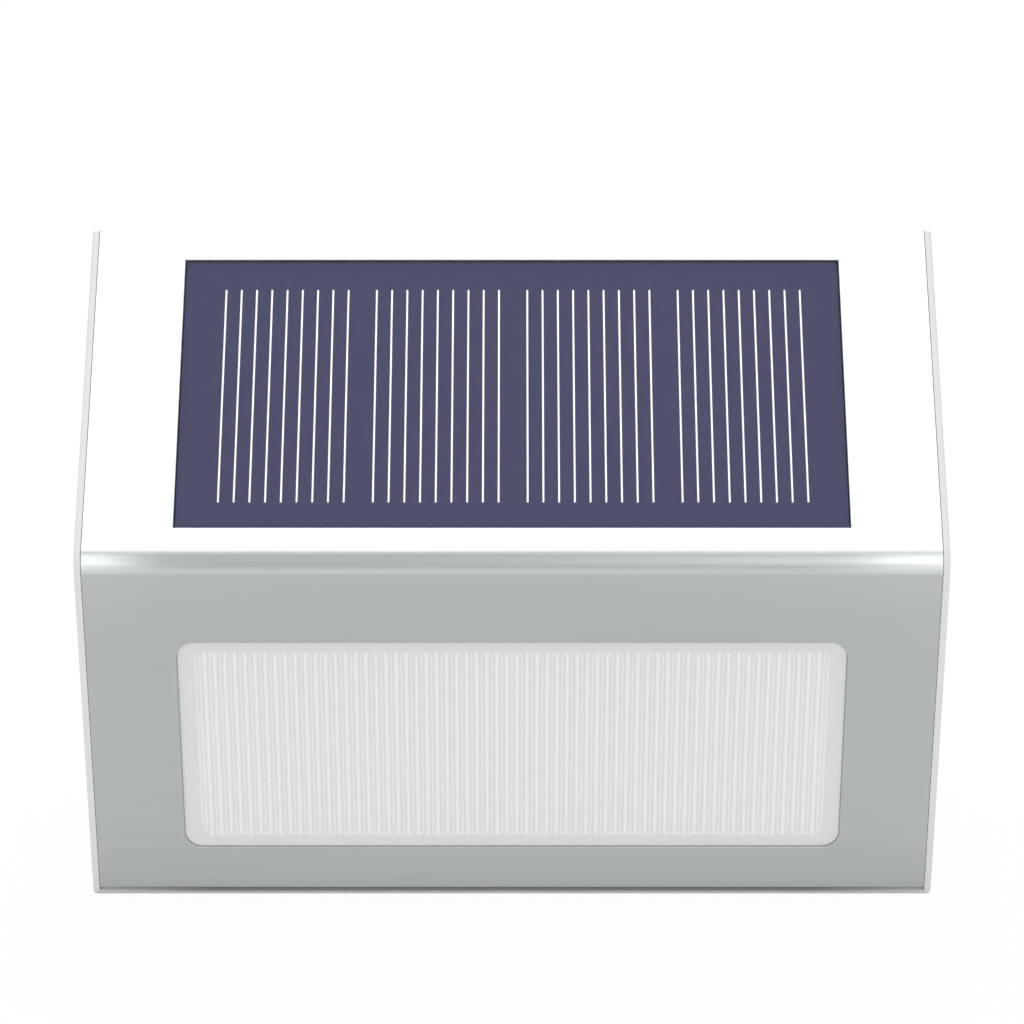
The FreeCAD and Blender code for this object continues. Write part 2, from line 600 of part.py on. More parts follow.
# ================================================================ plastic shell
def front_shell():
    core = slab(section(SHELL_SKIN), -RIM_INSIDE, RIM_INSIDE)
    foot_floor = box((-WIDTH, -WIDTH, BASE_Z - PAST), (WIDTH, WIDTH, BASE_Z + SHELL_INSIDE))
    under_steel = slab(section(0), -RIM_INSIDE, RIM_INSIDE).common(past_foot_edge(0)).common(foot_floor)
    foot = under_steel.common(past_foot_edge(FOOT_GAP))
    groove_floor = slab(section(FOOT_GROOVE), -WIDTH, WIDTH)
    core = core.fuse(foot).cut(under_steel.cut([foot, groove_floor]))
    hollow = slab(section(SHELL_INSIDE), -WIDTH / 2 + CHEEK, WIDTH / 2 - CHEEK)
    behind_flange = box((-WIDTH, FLANGE_FRONT, BASE_Z - PAST), (WIDTH, PAST, TOP_Z + PAST))
    shell = core.cut(hollow.cut(behind_flange))

    right_rim = rounded_rim(
        slab(section(0), RIM_INSIDE, WIDTH / 2), RIM_ROUND, lambda bounds: bounds.XMin > WIDTH / 2 - TINY
    )
    left_rim = right_rim.mirror(Vector(0, 0, 0), Vector(1, 0, 0))
    rims = [right_rim, left_rim]
    panel_bed = centred_plate(
        PANEL_WIDTH + 2 * WALL, PANEL_LENGTH + 2 * WALL, 0, -MODULE_BACK - POCKET_FLOOR, -SHELL_SKIN
    )
    lens_frame = centred_plate(
        FLANGE_WIDTH + 2 * (LENS_REBATE_GAP + LENS_FRAME_MARGIN),
        FLANGE_HEIGHT + 2 * (LENS_REBATE_GAP + LENS_FRAME_MARGIN),
        0, -LENS_FRAME_BACK, -SHELL_SKIN,
    )
    tab_pads = []
    for side in (-1, 1):
        pad_top = TAB_SCREW_V + LENS_FRAME_MARGIN
        tab_pads.append(on_front(box(
            (side * REFLECTOR_TAB_X - REFLECTOR_TAB_WIDTH / 2, 0, -LENS_FRAME_BACK),
            (side * REFLECTOR_TAB_X + REFLECTOR_TAB_WIDTH / 2, pad_top, -SHELL_SKIN),
        )))
    within = slab(section(SHELL_SKIN), -WIDTH / 2 + CHEEK, WIDTH / 2 - CHEEK)
    thick_spots = on_top(panel_bed).fuse([on_front(lens_frame)] + tab_pads).common(within)
    bosses = []
    for x, z in plate_screw_places():
        bosses.append(Part.makeCylinder(
            BOSS_RADIUS, BOSS_LENGTH + BLEND, Vector(x, FLANGE_FRONT + BLEND, z), Vector(0, -1, 0)
        ).common(within))
    shell = fuse(shell, rims + [thick_spots] + bosses)

    cuts = []
    opening = centred_plate(
        REAR_OPENING_WIDTH, REAR_OPENING_HEIGHT, REAR_OPENING_CORNER,
        FLANGE_FRONT - PAST, PAST, (0, OPENING_MIDDLE),
    )
    cuts.append(on_back(opening))
    cuts.append(on_back(gasket_ring(GASKET_GROOVE_GAP, -PLATE - GASKET, 0)))
    cuts.append(on_top(centred_plate(
        PANEL_WIDTH + 2 * PANEL_GAP, PANEL_LENGTH + 2 * PANEL_GAP, 0, -MODULE_BACK, PAST
    )))
    for x in SOLAR_WIRE_X:
        hole_y = SOLAR_WIRE_FROM_FOLD - PANEL_MIDDLE
        cuts.append(on_top(Part.makeCylinder(WIRE_HOLE, THROUGH, Vector(x, hole_y, -THROUGH))))
    rebate = 2 * LENS_REBATE_GAP
    cuts.append(on_front(centred_plate(
        FLANGE_WIDTH + rebate, FLANGE_HEIGHT + rebate, WINDOW_CORNER + LENS_FLANGE_MARGIN, -LENS_SEAT, PAST
    )))
    cuts.append(on_front(centred_plate(
        LIGHT_WIDTH, LIGHT_HEIGHT, WINDOW_CORNER, -LENS_FRAME_BACK - PAST, PAST
    )))
    for side in (-1, 1):
        pilot = Part.makeCylinder(
            SMALL_SCREW_RADIUS + SCREW_BITE, SMALL_SCREW_LENGTH - REFLECTOR_RIM + PILOT_SPARE / 2,
            Vector(side * REFLECTOR_TAB_X, TAB_SCREW_V, -LENS_FRAME_BACK),
        )
        cuts.append(on_front(pilot))
    for x, z in plate_screw_places():
        cuts.append(Part.makeCylinder(
            PLATE_SCREW_RADIUS + SCREW_BITE, PLATE_SCREW_LENGTH + PILOT_SPARE, Vector(x, 0, z), Vector(0, -1, 0)
        ))
    return shell.cut(cuts)


def gasket_ring(gap, low, high):
    """Ring round the shell's rear opening, drawn in the back's own frame."""
    inner = GASKET_FROM_OPENING - gap
    outer = GASKET_FROM_OPENING + GASKET_WIDTH + gap
    centre = (0, OPENING_MIDDLE)
    rings = []
    for margin in (outer, inner):
        rings.append(centred_plate(
            REAR_OPENING_WIDTH + 2 * margin, REAR_OPENING_HEIGHT + 2 * margin,
            REAR_OPENING_CORNER + margin, low, high, centre,
        ))
    return rings[0].cut(rings[1])


def back_gasket():
    return on_back(gasket_ring(0, -PLATE - GASKET, -PLATE))


# ================================================================ solar module
def solar_cells():
    top = -PANEL_SINK - RESIN
    return [
        centred_plate(CELL_WIDTH, CELL_LENGTH, 0, top - CELL_THICKNESS, top, (x, FINGER_SHIFT))
        for x in cell_places()
    ]


def solar_fingers():
    low = -PANEL_SINK - RESIN
    return [
        centred_plate(FINGER_WIDTH, FINGER_LENGTH, 0, low, low + FINGER_THICKNESS, (x, FINGER_SHIFT))
        for x in finger_places()
    ]


def solar_resin():
    """Clear resin poured over the cells' printed lines and the board."""
    low = -PANEL_SINK - RESIN
    resin = centred_plate(PANEL_WIDTH - 2 * PANEL_GAP, PANEL_LENGTH - 2 * PANEL_GAP, 0, low, -PANEL_SINK)
    return on_top(resin.cut(solar_fingers()))


def solar_layer(thickness, top, trim):
    width = PANEL_WIDTH - 2 * (PANEL_GAP + trim)
    length = PANEL_LENGTH - 2 * (PANEL_GAP + trim)
    return centred_plate(width, length, 0, top - thickness, top)


def solar_substrate():
    """Board with a bed for each cell, flush with the cells."""
    return on_top(solar_layer(SUBSTRATE, -PANEL_SINK - RESIN, 0).cut(solar_cells()))


def solar_adhesive():
    """Foam tape between module and shell, holed for the wires."""
    tape = solar_layer(ADHESIVE, -PANEL_SINK - RESIN - SUBSTRATE, ADHESIVE_INSET)
    hole_y = SOLAR_WIRE_FROM_FOLD - PANEL_MIDDLE
    holes = [Part.makeCylinder(WIRE_HOLE, THROUGH, Vector(x, hole_y, -THROUGH)) for x in SOLAR_WIRE_X]
    return on_top(tape.cut(holes))


# ================================================================ lens and lamp
def lens():
    """Frosted lens: flange under the steel, raised border in the window, ribbed field."""
    flange = centred_plate(
        FLANGE_WIDTH, FLANGE_HEIGHT, WINDOW_CORNER + LENS_FLANGE_MARGIN, -LENS_BACK, -LENS_BACK + LENS_FLANGE
    )
    border = centred_plate(
        WINDOW_WIDTH - 2 * LENS_GAP, WINDOW_HEIGHT - 2 * LENS_GAP, WINDOW_CORNER - LENS_GAP,
        -LENS_BACK, -LENS_SINK,
    )
    floor = -LENS_SINK - PAD_SINK
    field = centred_plate(PAD_WIDTH, PAD_HEIGHT, PAD_CORNER, floor, PAST)
    ribs = []
    half = PAD_HEIGHT / 2
    for index in range(RIB_COUNT):
        x = (index - (RIB_COUNT - 1) / 2) * RIB_PITCH
        left = Vector(x - RIB_WIDTH / 2, -half, floor)
        crest = Vector(x, -half, floor + RIB_HEIGHT)
        right = Vector(x + RIB_WIDTH / 2, -half, floor)
        root = Vector(0, 0, -RIB_HEIGHT / 2)
        outline = Part.Wire([
            Part.Arc(left, crest, right).toShape(),
            Part.LineSegment(right, right + root).toShape(),
            Part.LineSegment(right + root, left + root).toShape(),
            Part.LineSegment(left + root, left).toShape(),
        ])
        ribs.append(Part.Face(outline).extrude(Vector(0, PAD_HEIGHT, 0)))
    body = flange.fuse(border).cut(field)
    return on_front(fuse(body, ribs))


def lens_seal():
    outer = centred_plate(
        FLANGE_WIDTH, FLANGE_HEIGHT, WINDOW_CORNER + LENS_FLANGE_MARGIN, -LENS_SEAT, -LENS_BACK
    )
    inner = centred_plate(
        FLANGE_WIDTH - 2 * LENS_SEAL_WIDTH, FLANGE_HEIGHT - 2 * LENS_SEAL_WIDTH, WINDOW_CORNER,
        -LENS_SEAT - PAST, PAST,
    )
    return on_front(outer.cut(inner))


def tray(width, height, floor_width, floor_height, top, bottom):
    """Tapered block between two rectangles, for the reflector's outside and inside."""
    wires = []
    for wide, high, level in ((width, height, top), (floor_width, floor_height, bottom)):
        corners = [
            Vector(-wide / 2, -high / 2, level), Vector(wide / 2, -high / 2, level),
            Vector(wide / 2, high / 2, level), Vector(-wide / 2, high / 2, level),
        ]
        wires.append(Part.makePolygon(corners + corners[:1]))
    return Part.makeLoft(wires, True, True)


def reflector():
    """White tray behind the lens with holes for the lamps and two screw tabs."""
    rim_back = -LENS_FRAME_BACK - REFLECTOR_RIM
    rim = centred_plate(
        LIGHT_WIDTH + 2 * REFLECTOR_RIM_MARGIN, REFLECTOR_RIM_HEIGHT, WINDOW_CORNER,
        rim_back, -LENS_FRAME_BACK,
    )
    outside = tray(
        LIGHT_WIDTH, LIGHT_HEIGHT,
        REFLECTOR_FLOOR_WIDTH + 2 * REFLECTOR_WALL, REFLECTOR_FLOOR_HEIGHT + 2 * REFLECTOR_WALL,
        -LENS_FRAME_BACK, -REFLECTOR_BACK,
    )
    inside = tray(
        LIGHT_WIDTH - 2 * REFLECTOR_WALL, LIGHT_HEIGHT - 2 * REFLECTOR_WALL,
        REFLECTOR_FLOOR_WIDTH, REFLECTOR_FLOOR_HEIGHT,
        -LENS_FRAME_BACK, -REFLECTOR_BACK + REFLECTOR_WALL,
    )
    extras = [outside]
    cuts = [inside]
    for side in (-1, 1):
        extras.append(box(
            (side * REFLECTOR_TAB_X - REFLECTOR_TAB_WIDTH / 2, REFLECTOR_RIM_HEIGHT / 2 - BLEND, rim_back),
            (side * REFLECTOR_TAB_X + REFLECTOR_TAB_WIDTH / 2,
             REFLECTOR_RIM_HEIGHT / 2 + REFLECTOR_TAB_RISE, -LENS_FRAME_BACK),
        ))
        cuts.append(Part.makeCylinder(
            SMALL_SCREW_RADIUS + HOLE_GAP, REFLECTOR_RIM + 2 * PAST,
            Vector(side * REFLECTOR_TAB_X, TAB_SCREW_V, rim_back - PAST),
        ))
        extras.append(Part.makeCylinder(
            LED_SCREW_BOSS, LED_SCREW_BOSS_LENGTH + BLEND, Vector(side * LED_SCREW_X, 0, -LED_BOARD_FRONT)
        ))
        cuts.append(Part.makeCylinder(
            SMALL_SCREW_RADIUS + SCREW_BITE, SMALL_SCREW_LENGTH - BOARD + PILOT_SPARE,
            Vector(side * LED_SCREW_X, 0, -LED_BOARD_FRONT),
        ))
    for x in led_places():
        cuts.append(Part.makeCylinder(
            LED_RADIUS + LED_HOLE_GAP, REFLECTOR_WALL + 2 * PAST, Vector(x, 0, -REFLECTOR_BACK - PAST)
        ))
    return on_front(fuse(rim, extras).cut(cuts))


def reflector_screws():
    screw = pan_screw(SMALL_SCREW_RADIUS, SMALL_SCREW_HEAD_RADIUS, SMALL_SCREW_HEAD, SMALL_SCREW_LENGTH)
    screw.rotate(Vector(0, 0, 0), Vector(1, 0, 0), 180)
    level = -LENS_FRAME_BACK - REFLECTOR_RIM
    return group([on_front(at(screw, side * REFLECTOR_TAB_X, TAB_SCREW_V, level)) for side in (-1, 1)])


def led_board():
    board = centred_plate(
        LED_BOARD_WIDTH, LED_BOARD_HEIGHT, LED_BOARD_CORNER, -LED_BOARD_BACK, -LED_BOARD_FRONT
    )
    holes = [
        Part.makeCylinder(
            SMALL_SCREW_RADIUS + HOLE_GAP, BOARD + 2 * PAST, Vector(side * LED_SCREW_X, 0, -LED_BOARD_BACK - PAST)
        )
        for side in (-1, 1)
    ]
    return on_front(board.cut(holes))


def leds():
    """Round lamps that stand on their board and reach through the reflector's holes."""
    foot = Part.makeCylinder(LED_FLANGE_RADIUS, LED_FLANGE)
    reach = LED_SCREW_BOSS_LENGTH + LED_HEIGHT
    body = Part.makeCylinder(LED_RADIUS, reach)
    dome = Part.makeSphere(LED_RADIUS, Vector(0, 0, reach))
    lamp = fuse(foot, [body, dome])
    return group([on_front(at(lamp, x, 0, -LED_BOARD_FRONT)) for x in led_places()])


def led_board_screws():
    screw = pan_screw(SMALL_SCREW_RADIUS, SMALL_SCREW_HEAD_RADIUS, SMALL_SCREW_HEAD, SMALL_SCREW_LENGTH)
    screw.rotate(Vector(0, 0, 0), Vector(1, 0, 0), 180)
    return group([on_front(at(screw, side * LED_SCREW_X, 0, -LED_BOARD_BACK)) for side in (-1, 1)])


# ================================================================ back plate
def keyhole_cut(side):
    """Entry hole and narrow slot above it, through the plate."""
    x = side * KEYHOLE_SPACING / 2
    entry = Part.makeCylinder(
        KEYHOLE_ENTRY_RADIUS, PLATE + 2 * PAST, Vector(x, PAST, KEYHOLE_ENTRY_Z), Vector(0, -1, 0)
    )
    slot_end = Part.makeCylinder(
        KEYHOLE_SLOT_HALF, PLATE + 2 * PAST, Vector(x, PAST, KEYHOLE_ENTRY_Z + KEYHOLE_RISE), Vector(0, -1, 0)
    )
    slot = box(
        (x - KEYHOLE_SLOT_HALF, -PLATE - PAST, KEYHOLE_ENTRY_Z),
        (x + KEYHOLE_SLOT_HALF, PAST, KEYHOLE_ENTRY_Z + KEYHOLE_RISE),
    )
    return entry.fuse([slot_end, slot])


def pocket_block(side, wall):
    """Closed pocket for a wall screw's head, behind its keyhole."""
    x = side * KEYHOLE_SPACING / 2
    return box(
        (x - POCKET_HALF_WIDTH - wall, -PLATE - POCKET_DEPTH - wall, KEYHOLE_ENTRY_Z - POCKET_BELOW - wall),
        (x + POCKET_HALF_WIDTH + wall, -PLATE, KEYHOLE_ENTRY_Z + KEYHOLE_RISE + POCKET_ABOVE + wall),
    )


def battery_bay(wall, rear):
    half = BAY_LENGTH / 2 + wall
    return box(
        (-half, BAY_FRONT - wall, BATTERY_Z - BAY_HALF_HEIGHT - wall),
        (half, rear, BATTERY_Z + BAY_HALF_HEIGHT + wall),
    )


def door_outline(margin, low, high):
    return on_back(centred_plate(
        DOOR_WIDTH + 2 * margin, DOOR_HEIGHT + 2 * margin, DOOR_CORNER + margin, low, high, (0, BATTERY_Z)
    ))


def door_seal_ring(gap, low, high):
    rings = []
    for margin in (DOOR_SEAL_FROM_BAY + DOOR_SEAL_WIDTH + gap, DOOR_SEAL_FROM_BAY - gap):
        rings.append(centred_plate(
            BAY_LENGTH + 2 * margin, 2 * (BAY_HALF_HEIGHT + margin), BAY_CORNER + margin, low, high, (0, BATTERY_Z)
        ))
    return on_back(rings[0].cut(rings[1]))


def contact_tab_slots():
    slots = []
    for side in (-1, 1):
        end = side * (BAY_LENGTH / 2 - CONTACT / 2)
        half_x = CONTACT / 2 + CONTACT_SLOT_GAP
        half_y = CONTACT_TAB_WIDTH / 2 + CONTACT_SLOT_GAP
        slots.append(box(
            (end - half_x, BATTERY_Y - half_y, BATTERY_Z),
            (end + half_x, BATTERY_Y + half_y, BAY_ROOF + PAST),
        ))
    return slots


def switch_slot(gap, low, high):
    half_length = KNOB_LENGTH / 2 + SWITCH_TRAVEL / 2 + gap
    half_height = KNOB_HEIGHT / 2 + gap
    return box((SWITCH_X - half_length, low, SWITCH_Z - half_height),
               (SWITCH_X + half_length, high, SWITCH_Z + half_height))


def back_plate():
    """Rear plate with battery bay, screw-head pockets, standoffs and the switch's recess."""
    top = TOP_Z - PLATE_TOP_DROP
    middle = (BASE_Z + top) / 2
    plate = on_back(centred_plate(WIDTH, top - BASE_Z, PLATE_CORNER, -PLATE, 0, (0, middle)))
    plate = rounded_rim(plate, PLATE_ROUND, lambda bounds: bounds.YMin > -TINY)
    ledge = door_outline(DOOR_GAP + DOOR_LEDGE_MARGIN, LEDGE_INSIDE, -PLATE)
    added = [battery_bay(BAY_WALL, -PLATE), ledge]
    added += [pocket_block(side, POCKET_WALL) for side in (-1, 1)]
    for side in (-1, 1):
        added.append(Part.makeCylinder(
            STANDOFF_RADIUS, CONTROL_STANDOFF + BLEND, Vector(side * CONTROL_SCREW_X, -PLATE + BLEND, CONTROL_Z),
            Vector(0, -1, 0),
        ))
        added.append(Part.makeCylinder(
            DOOR_BOSS_RADIUS, DOOR_BOSS_LENGTH, Vector(side * DOOR_SCREW_X, LEDGE_INSIDE + BLEND, BATTERY_Z),
            Vector(0, -1, 0),
        ))
    plate = fuse(plate, added)

    cuts = [battery_bay(0, PAST), door_outline(DOOR_GAP, DOOR_SEAT, PAST)]
    cuts.append(door_seal_ring(DOOR_SEAL_GROOVE_GAP, DOOR_INSIDE - DOOR_SEAL, 0))
    cuts += contact_tab_slots()
    for side in (-1, 1):
        cuts.append(keyhole_cut(side))
        cuts.append(pocket_block(side, 0))
        cuts.append(Part.makeCylinder(
            SMALL_SCREW_RADIUS + SCREW_BITE, SMALL_SCREW_LENGTH + PILOT_SPARE,
            Vector(side * CONTROL_SCREW_X, BOARD_REAR, CONTROL_Z), Vector(0, 1, 0),
        ))
        cuts.append(Part.makeCylinder(
            DOOR_SCREW_RADIUS + SCREW_BITE, DOOR_SCREW_LENGTH + PILOT_SPARE,
            Vector(side * DOOR_SCREW_X, 0, BATTERY_Z), Vector(0, -1, 0),
        ))
    sink = countersink(PLATE_SCREW_RADIUS, PLATE_SCREW_HEAD_RADIUS)
    cuts += [on_back(at(sink, x, z, -PLATE_SCREW_SINK)) for x, z in plate_screw_places()]
    cuts.append(switch_slot(SWITCH_SLOT_GAP, -PLATE - PAST, PAST))
    recess = centred_plate(
        SWITCH_RECESS_LENGTH, SWITCH_RECESS_HEIGHT, SWITCH_RECESS_CORNER, -SWITCH_RECESS_DEPTH, PAST
    )
    cuts.append(placed(recess, FreeCAD.Placement(Vector(SWITCH_X, 0, SWITCH_Z), REAR_FRAME.Rotation)))
    return plate.cut(cuts)


def back_plate_screws():
    screw = flat_screw(PLATE_SCREW_RADIUS, PLATE_SCREW_HEAD_RADIUS, PLATE_SCREW_LENGTH)
    return group([on_back(at(screw, x, z, -PLATE_SCREW_SINK)) for x, z in plate_screw_places()])


# ================================================================ battery and its door
def along_x(radius, length, x):
    return Part.makeCylinder(radius, length, Vector(x, BATTERY_Y, BATTERY_Z), Vector(1, 0, 0))


def battery_can():
    """Steel can with its raised positive end to the right."""
    can = along_x(BATTERY_RADIUS, BATTERY_LENGTH, CAN_LEFT)
    nub = along_x(BATTERY_NUB_RADIUS, BATTERY_NUB + BLEND, CAN_LEFT + BATTERY_LENGTH - BLEND)
    return fuse(can, [nub])


def battery_sleeve():
    """Printed sleeve round the can."""
    length = BATTERY_LENGTH - 2 * BATTERY_SLEEVE_INSET
    sleeve = along_x(BATTERY_BODY_RADIUS, length, CAN_LEFT + BATTERY_SLEEVE_INSET)
    return sleeve.cut(along_x(BATTERY_RADIUS, BATTERY_LENGTH, CAN_LEFT))


def contact_plate(side):
    """Flat contact against the bay's end wall, with a tab up through the roof."""
    outer = side * BAY_LENGTH / 2
    inner = outer - side * CONTACT
    left, right = sorted((outer, inner))
    plate = box(
        (left, BATTERY_Y - CONTACT_WIDTH / 2, BATTERY_Z - CONTACT_HEIGHT / 2),
        (right, BATTERY_Y + CONTACT_WIDTH / 2, BATTERY_Z + CONTACT_HEIGHT / 2),
    )
    tab = box(
        (left, BATTERY_Y - CONTACT_TAB_WIDTH / 2, BATTERY_Z),
        (right, BATTERY_Y + CONTACT_TAB_WIDTH / 2, BAY_ROOF + CONTACT_TAB_RISE),
    )
    return fuse(plate, [tab])


def positive_contact():
    return contact_plate(1)


def negative_contact():
    """Contact with a bowed leaf spring that presses on the can's flat end."""
    plate = contact_plate(-1)
    wall_x = -BAY_LENGTH / 2 + CONTACT
    reach = LEAF_HEIGHT / 2

    def bow(start_x, crest_x, half):
        return Part.Arc(
            Vector(start_x, 0, BATTERY_Z - half), Vector(crest_x, 0, BATTERY_Z), Vector(start_x, 0, BATTERY_Z + half)
        ).toShape()

    outer = bow(wall_x, CAN_LEFT, reach)
    inner = bow(wall_x, CAN_LEFT - CONTACT, reach - LEAF_ROOT)
    ends = [
        Part.LineSegment(Vector(wall_x, 0, BATTERY_Z + side * (reach - LEAF_ROOT)),
                         Vector(wall_x, 0, BATTERY_Z + side * reach)).toShape()
        for side in (1, -1)
    ]
    outline = Part.Wire(Part.__sortEdges__([outer, inner] + ends))
    leaf = Part.Face(outline)
    leaf.translate(Vector(0, BATTERY_Y - LEAF_WIDTH / 2, 0))
    return fuse(plate, [leaf.extrude(Vector(0, LEAF_WIDTH, 0))])


def battery_door():
    """Lift-off door with finger grips between its two screws."""
    door = door_outline(0, DOOR_INSIDE, DOOR_FACE)
    cuts = []
    sink = countersink(DOOR_SCREW_RADIUS, DOOR_SCREW_HEAD_RADIUS)
    for side in (-1, 1):
        cuts.append(on_back(at(sink, side * DOOR_SCREW_X, BATTERY_Z, DOOR_FACE)))
    for index in range(DOOR_GRIP_COUNT):
        x = (index - (DOOR_GRIP_COUNT - 1) / 2) * DOOR_GRIP_PITCH
        cuts.append(box(
            (x - DOOR_GRIP_WIDTH / 2, DOOR_FACE - DOOR_GRIP_DEPTH, BATTERY_Z - DOOR_GRIP_LENGTH / 2),
            (x + DOOR_GRIP_WIDTH / 2, PAST, BATTERY_Z + DOOR_GRIP_LENGTH / 2),
        ))
    return door.cut(cuts)


def battery_door_seal():
    return door_seal_ring(0, DOOR_INSIDE - DOOR_SEAL, DOOR_INSIDE)


def battery_door_screws():
    screw = flat_screw(DOOR_SCREW_RADIUS, DOOR_SCREW_HEAD_RADIUS, DOOR_SCREW_LENGTH)
    return group([on_back(at(screw, side * DOOR_SCREW_X, BATTERY_Z, DOOR_FACE)) for side in (-1, 1)])


# ================================================================ control board and switch
def control_board():
    board = box(
        (-CONTROL_WIDTH / 2, BOARD_FRONT, CONTROL_Z - CONTROL_HEIGHT / 2),
        (CONTROL_WIDTH / 2, BOARD_REAR, CONTROL_Z + CONTROL_HEIGHT / 2),
    )
    holes = [
        Part.makeCylinder(
            SMALL_SCREW_RADIUS + HOLE_GAP, BOARD + 2 * PAST,
            Vector(side * CONTROL_SCREW_X, BOARD_FRONT - PAST, CONTROL_Z), Vector(0, 1, 0),
        )
        for side in (-1, 1)
    ]
    return board.cut(holes)


def control_board_screws():
    screw = pan_screw(SMALL_SCREW_RADIUS, SMALL_SCREW_HEAD_RADIUS, SMALL_SCREW_HEAD, SMALL_SCREW_LENGTH)
    screw.rotate(Vector(0, 0, 0), Vector(1, 0, 0), 90)
    return group([at(screw, side * CONTROL_SCREW_X, BOARD_FRONT, CONTROL_Z) for side in (-1, 1)])


def control_chip():
    """Small driver chip with a row of legs on each side."""
    middle_z = CONTROL_Z + CHIP_ABOVE_MIDDLE
    body = box(
        (CHIP_X - CHIP_WIDTH / 2, BOARD_FRONT - CHIP_HEIGHT, middle_z - CHIP_LENGTH / 2),
        (CHIP_X + CHIP_WIDTH / 2, BOARD_FRONT - LEG_THICKNESS / 3, middle_z + CHIP_LENGTH / 2),
    )
    span = CHIP_WIDTH / 2 + LEG_REACH
    legs = []
    for index in range(CHIP_LEGS):
        leg_z = middle_z + (index - (CHIP_LEGS - 1) / 2) * LEG_PITCH
        legs.append(box(
            (CHIP_X - span, BOARD_FRONT - LEG_THICKNESS, leg_z - LEG_WIDTH / 2),
            (CHIP_X + span, BOARD_FRONT, leg_z + LEG_WIDTH / 2),
        ))
    return fuse(body, legs)


def boost_inductor():
    """Drum choke, axis square to the board."""
    foot = Vector(INDUCTOR_X, BOARD_FRONT, CONTROL_Z + INDUCTOR_ABOVE_MIDDLE)
    towards_front = Vector(0, -1, 0)
    drum = Part.makeCylinder(INDUCTOR_RADIUS, INDUCTOR_RIM, foot, towards_front)
    winding = Part.makeCylinder(INDUCTOR_WINDING_RADIUS, INDUCTOR_HEIGHT, foot, towards_front)
    cap_foot = foot + towards_front * (INDUCTOR_HEIGHT - INDUCTOR_RIM)
    cap = Part.makeCylinder(INDUCTOR_RADIUS, INDUCTOR_RIM, cap_foot, towards_front)
    return fuse(drum, [winding, cap])


def control_capacitor():
    foot = Vector(CAPACITOR_X, BOARD_FRONT, CONTROL_Z - CAPACITOR_BELOW_MIDDLE)
    return Part.makeCylinder(CAPACITOR_RADIUS, CAPACITOR_HEIGHT, foot, Vector(0, -1, 0))


def switch_body():
    """Slide switch's can, with its slider's chamber and slot."""
    half_length = SWITCH_LENGTH / 2
    half_height = SWITCH_HEIGHT / 2
    can = box(
        (SWITCH_X - half_length, BOARD_REAR, SWITCH_Z - half_height),
        (SWITCH_X + half_length, SWITCH_REAR, SWITCH_Z + half_height),
    )
    chamber_depth = SLIDER_THICKNESS + 2 * SLIDER_GAP
    chamber = box(
        (SWITCH_X - half_length + SWITCH_WALL, SWITCH_REAR - SWITCH_WALL - chamber_depth,
         SWITCH_Z - SLIDER_HEIGHT / 2 - SLIDER_GAP),
        (SWITCH_X + half_length - SWITCH_WALL, SWITCH_REAR - SWITCH_WALL,
         SWITCH_Z + SLIDER_HEIGHT / 2 + SLIDER_GAP),
    )
    slot = switch_slot(SWITCH_SLOT_GAP, SWITCH_REAR - SWITCH_WALL - SLIDER_GAP, SWITCH_REAR + PAST)
    return can.cut([chamber, slot])


def switch_slider():
    """Slider with its ribbed knob, at the OFF end of its travel."""
    roof = SWITCH_REAR - SWITCH_WALL - SLIDER_GAP
    shoe = box(
        (KNOB_REST_X - SLIDER_LENGTH / 2, roof - SLIDER_THICKNESS, SWITCH_Z - SLIDER_HEIGHT / 2),
        (KNOB_REST_X + SLIDER_LENGTH / 2, roof, SWITCH_Z + SLIDER_HEIGHT / 2),
    )
    knob = box(
        (KNOB_REST_X - KNOB_LENGTH / 2, roof - BLEND, SWITCH_Z - KNOB_HEIGHT / 2),
        (KNOB_REST_X + KNOB_LENGTH / 2, -KNOB_SINK, SWITCH_Z + KNOB_HEIGHT / 2),
    )
    grooves = []
    for index in range(KNOB_GROOVES):
        middle = KNOB_REST_X + (index - (KNOB_GROOVES - 1) / 2) * KNOB_GROOVE_PITCH
        grooves.append(box(
            (middle - KNOB_GROOVE / 2, -KNOB_SINK - KNOB_GROOVE, SWITCH_Z - KNOB_HEIGHT),
            (middle + KNOB_GROOVE / 2, PAST, SWITCH_Z + KNOB_HEIGHT),
        ))
    return fuse(shoe, [knob]).cut(grooves)


# ================================================================ wires
def solar_wire(x):
    """From the module's pads straight in through the shell, then square to the board."""
    depth = PANEL_SINK + RESIN + SUBSTRATE
    start = Vector(
        x,
        FOLD_Y + SOLAR_WIRE_FROM_FOLD * math.cos(TOP_SLOPE) + depth * math.sin(TOP_SLOPE),
        FOLD_Z + SOLAR_WIRE_FROM_FOLD * math.sin(TOP_SLOPE) - depth * math.cos(TOP_SLOPE),
    )
    pad = Vector(x, BOARD_FRONT, CONTROL_Z + SOLAR_WIRE_PAD)
    drop = (start.z - pad.z) / math.cos(TOP_SLOPE)
    corner = start + Vector(0, math.sin(TOP_SLOPE), -math.cos(TOP_SLOPE)) * drop
    return tube_along([start, corner, pad], WIRE_RADIUS)


def battery_wire(side):
    """From a contact's tab up over the bay and square to the board."""
    pad = Vector(side * BATTERY_WIRE_X, BOARD_FRONT, CONTROL_Z + BATTERY_WIRE_PAD)
    before_pad = pad - Vector(0, WIRE_STUB, 0)
    start = Vector(side * (BAY_LENGTH - CONTACT) / 2, BATTERY_Y, BAY_ROOF + CONTACT_TAB_RISE)
    above_tab = start + Vector(0, 0, WIRE_STUB)
    middle = Vector((above_tab.x + before_pad.x) / 2, before_pad.y, above_tab.z)
    return tube_along([start, above_tab, middle, before_pad, pad], WIRE_RADIUS)


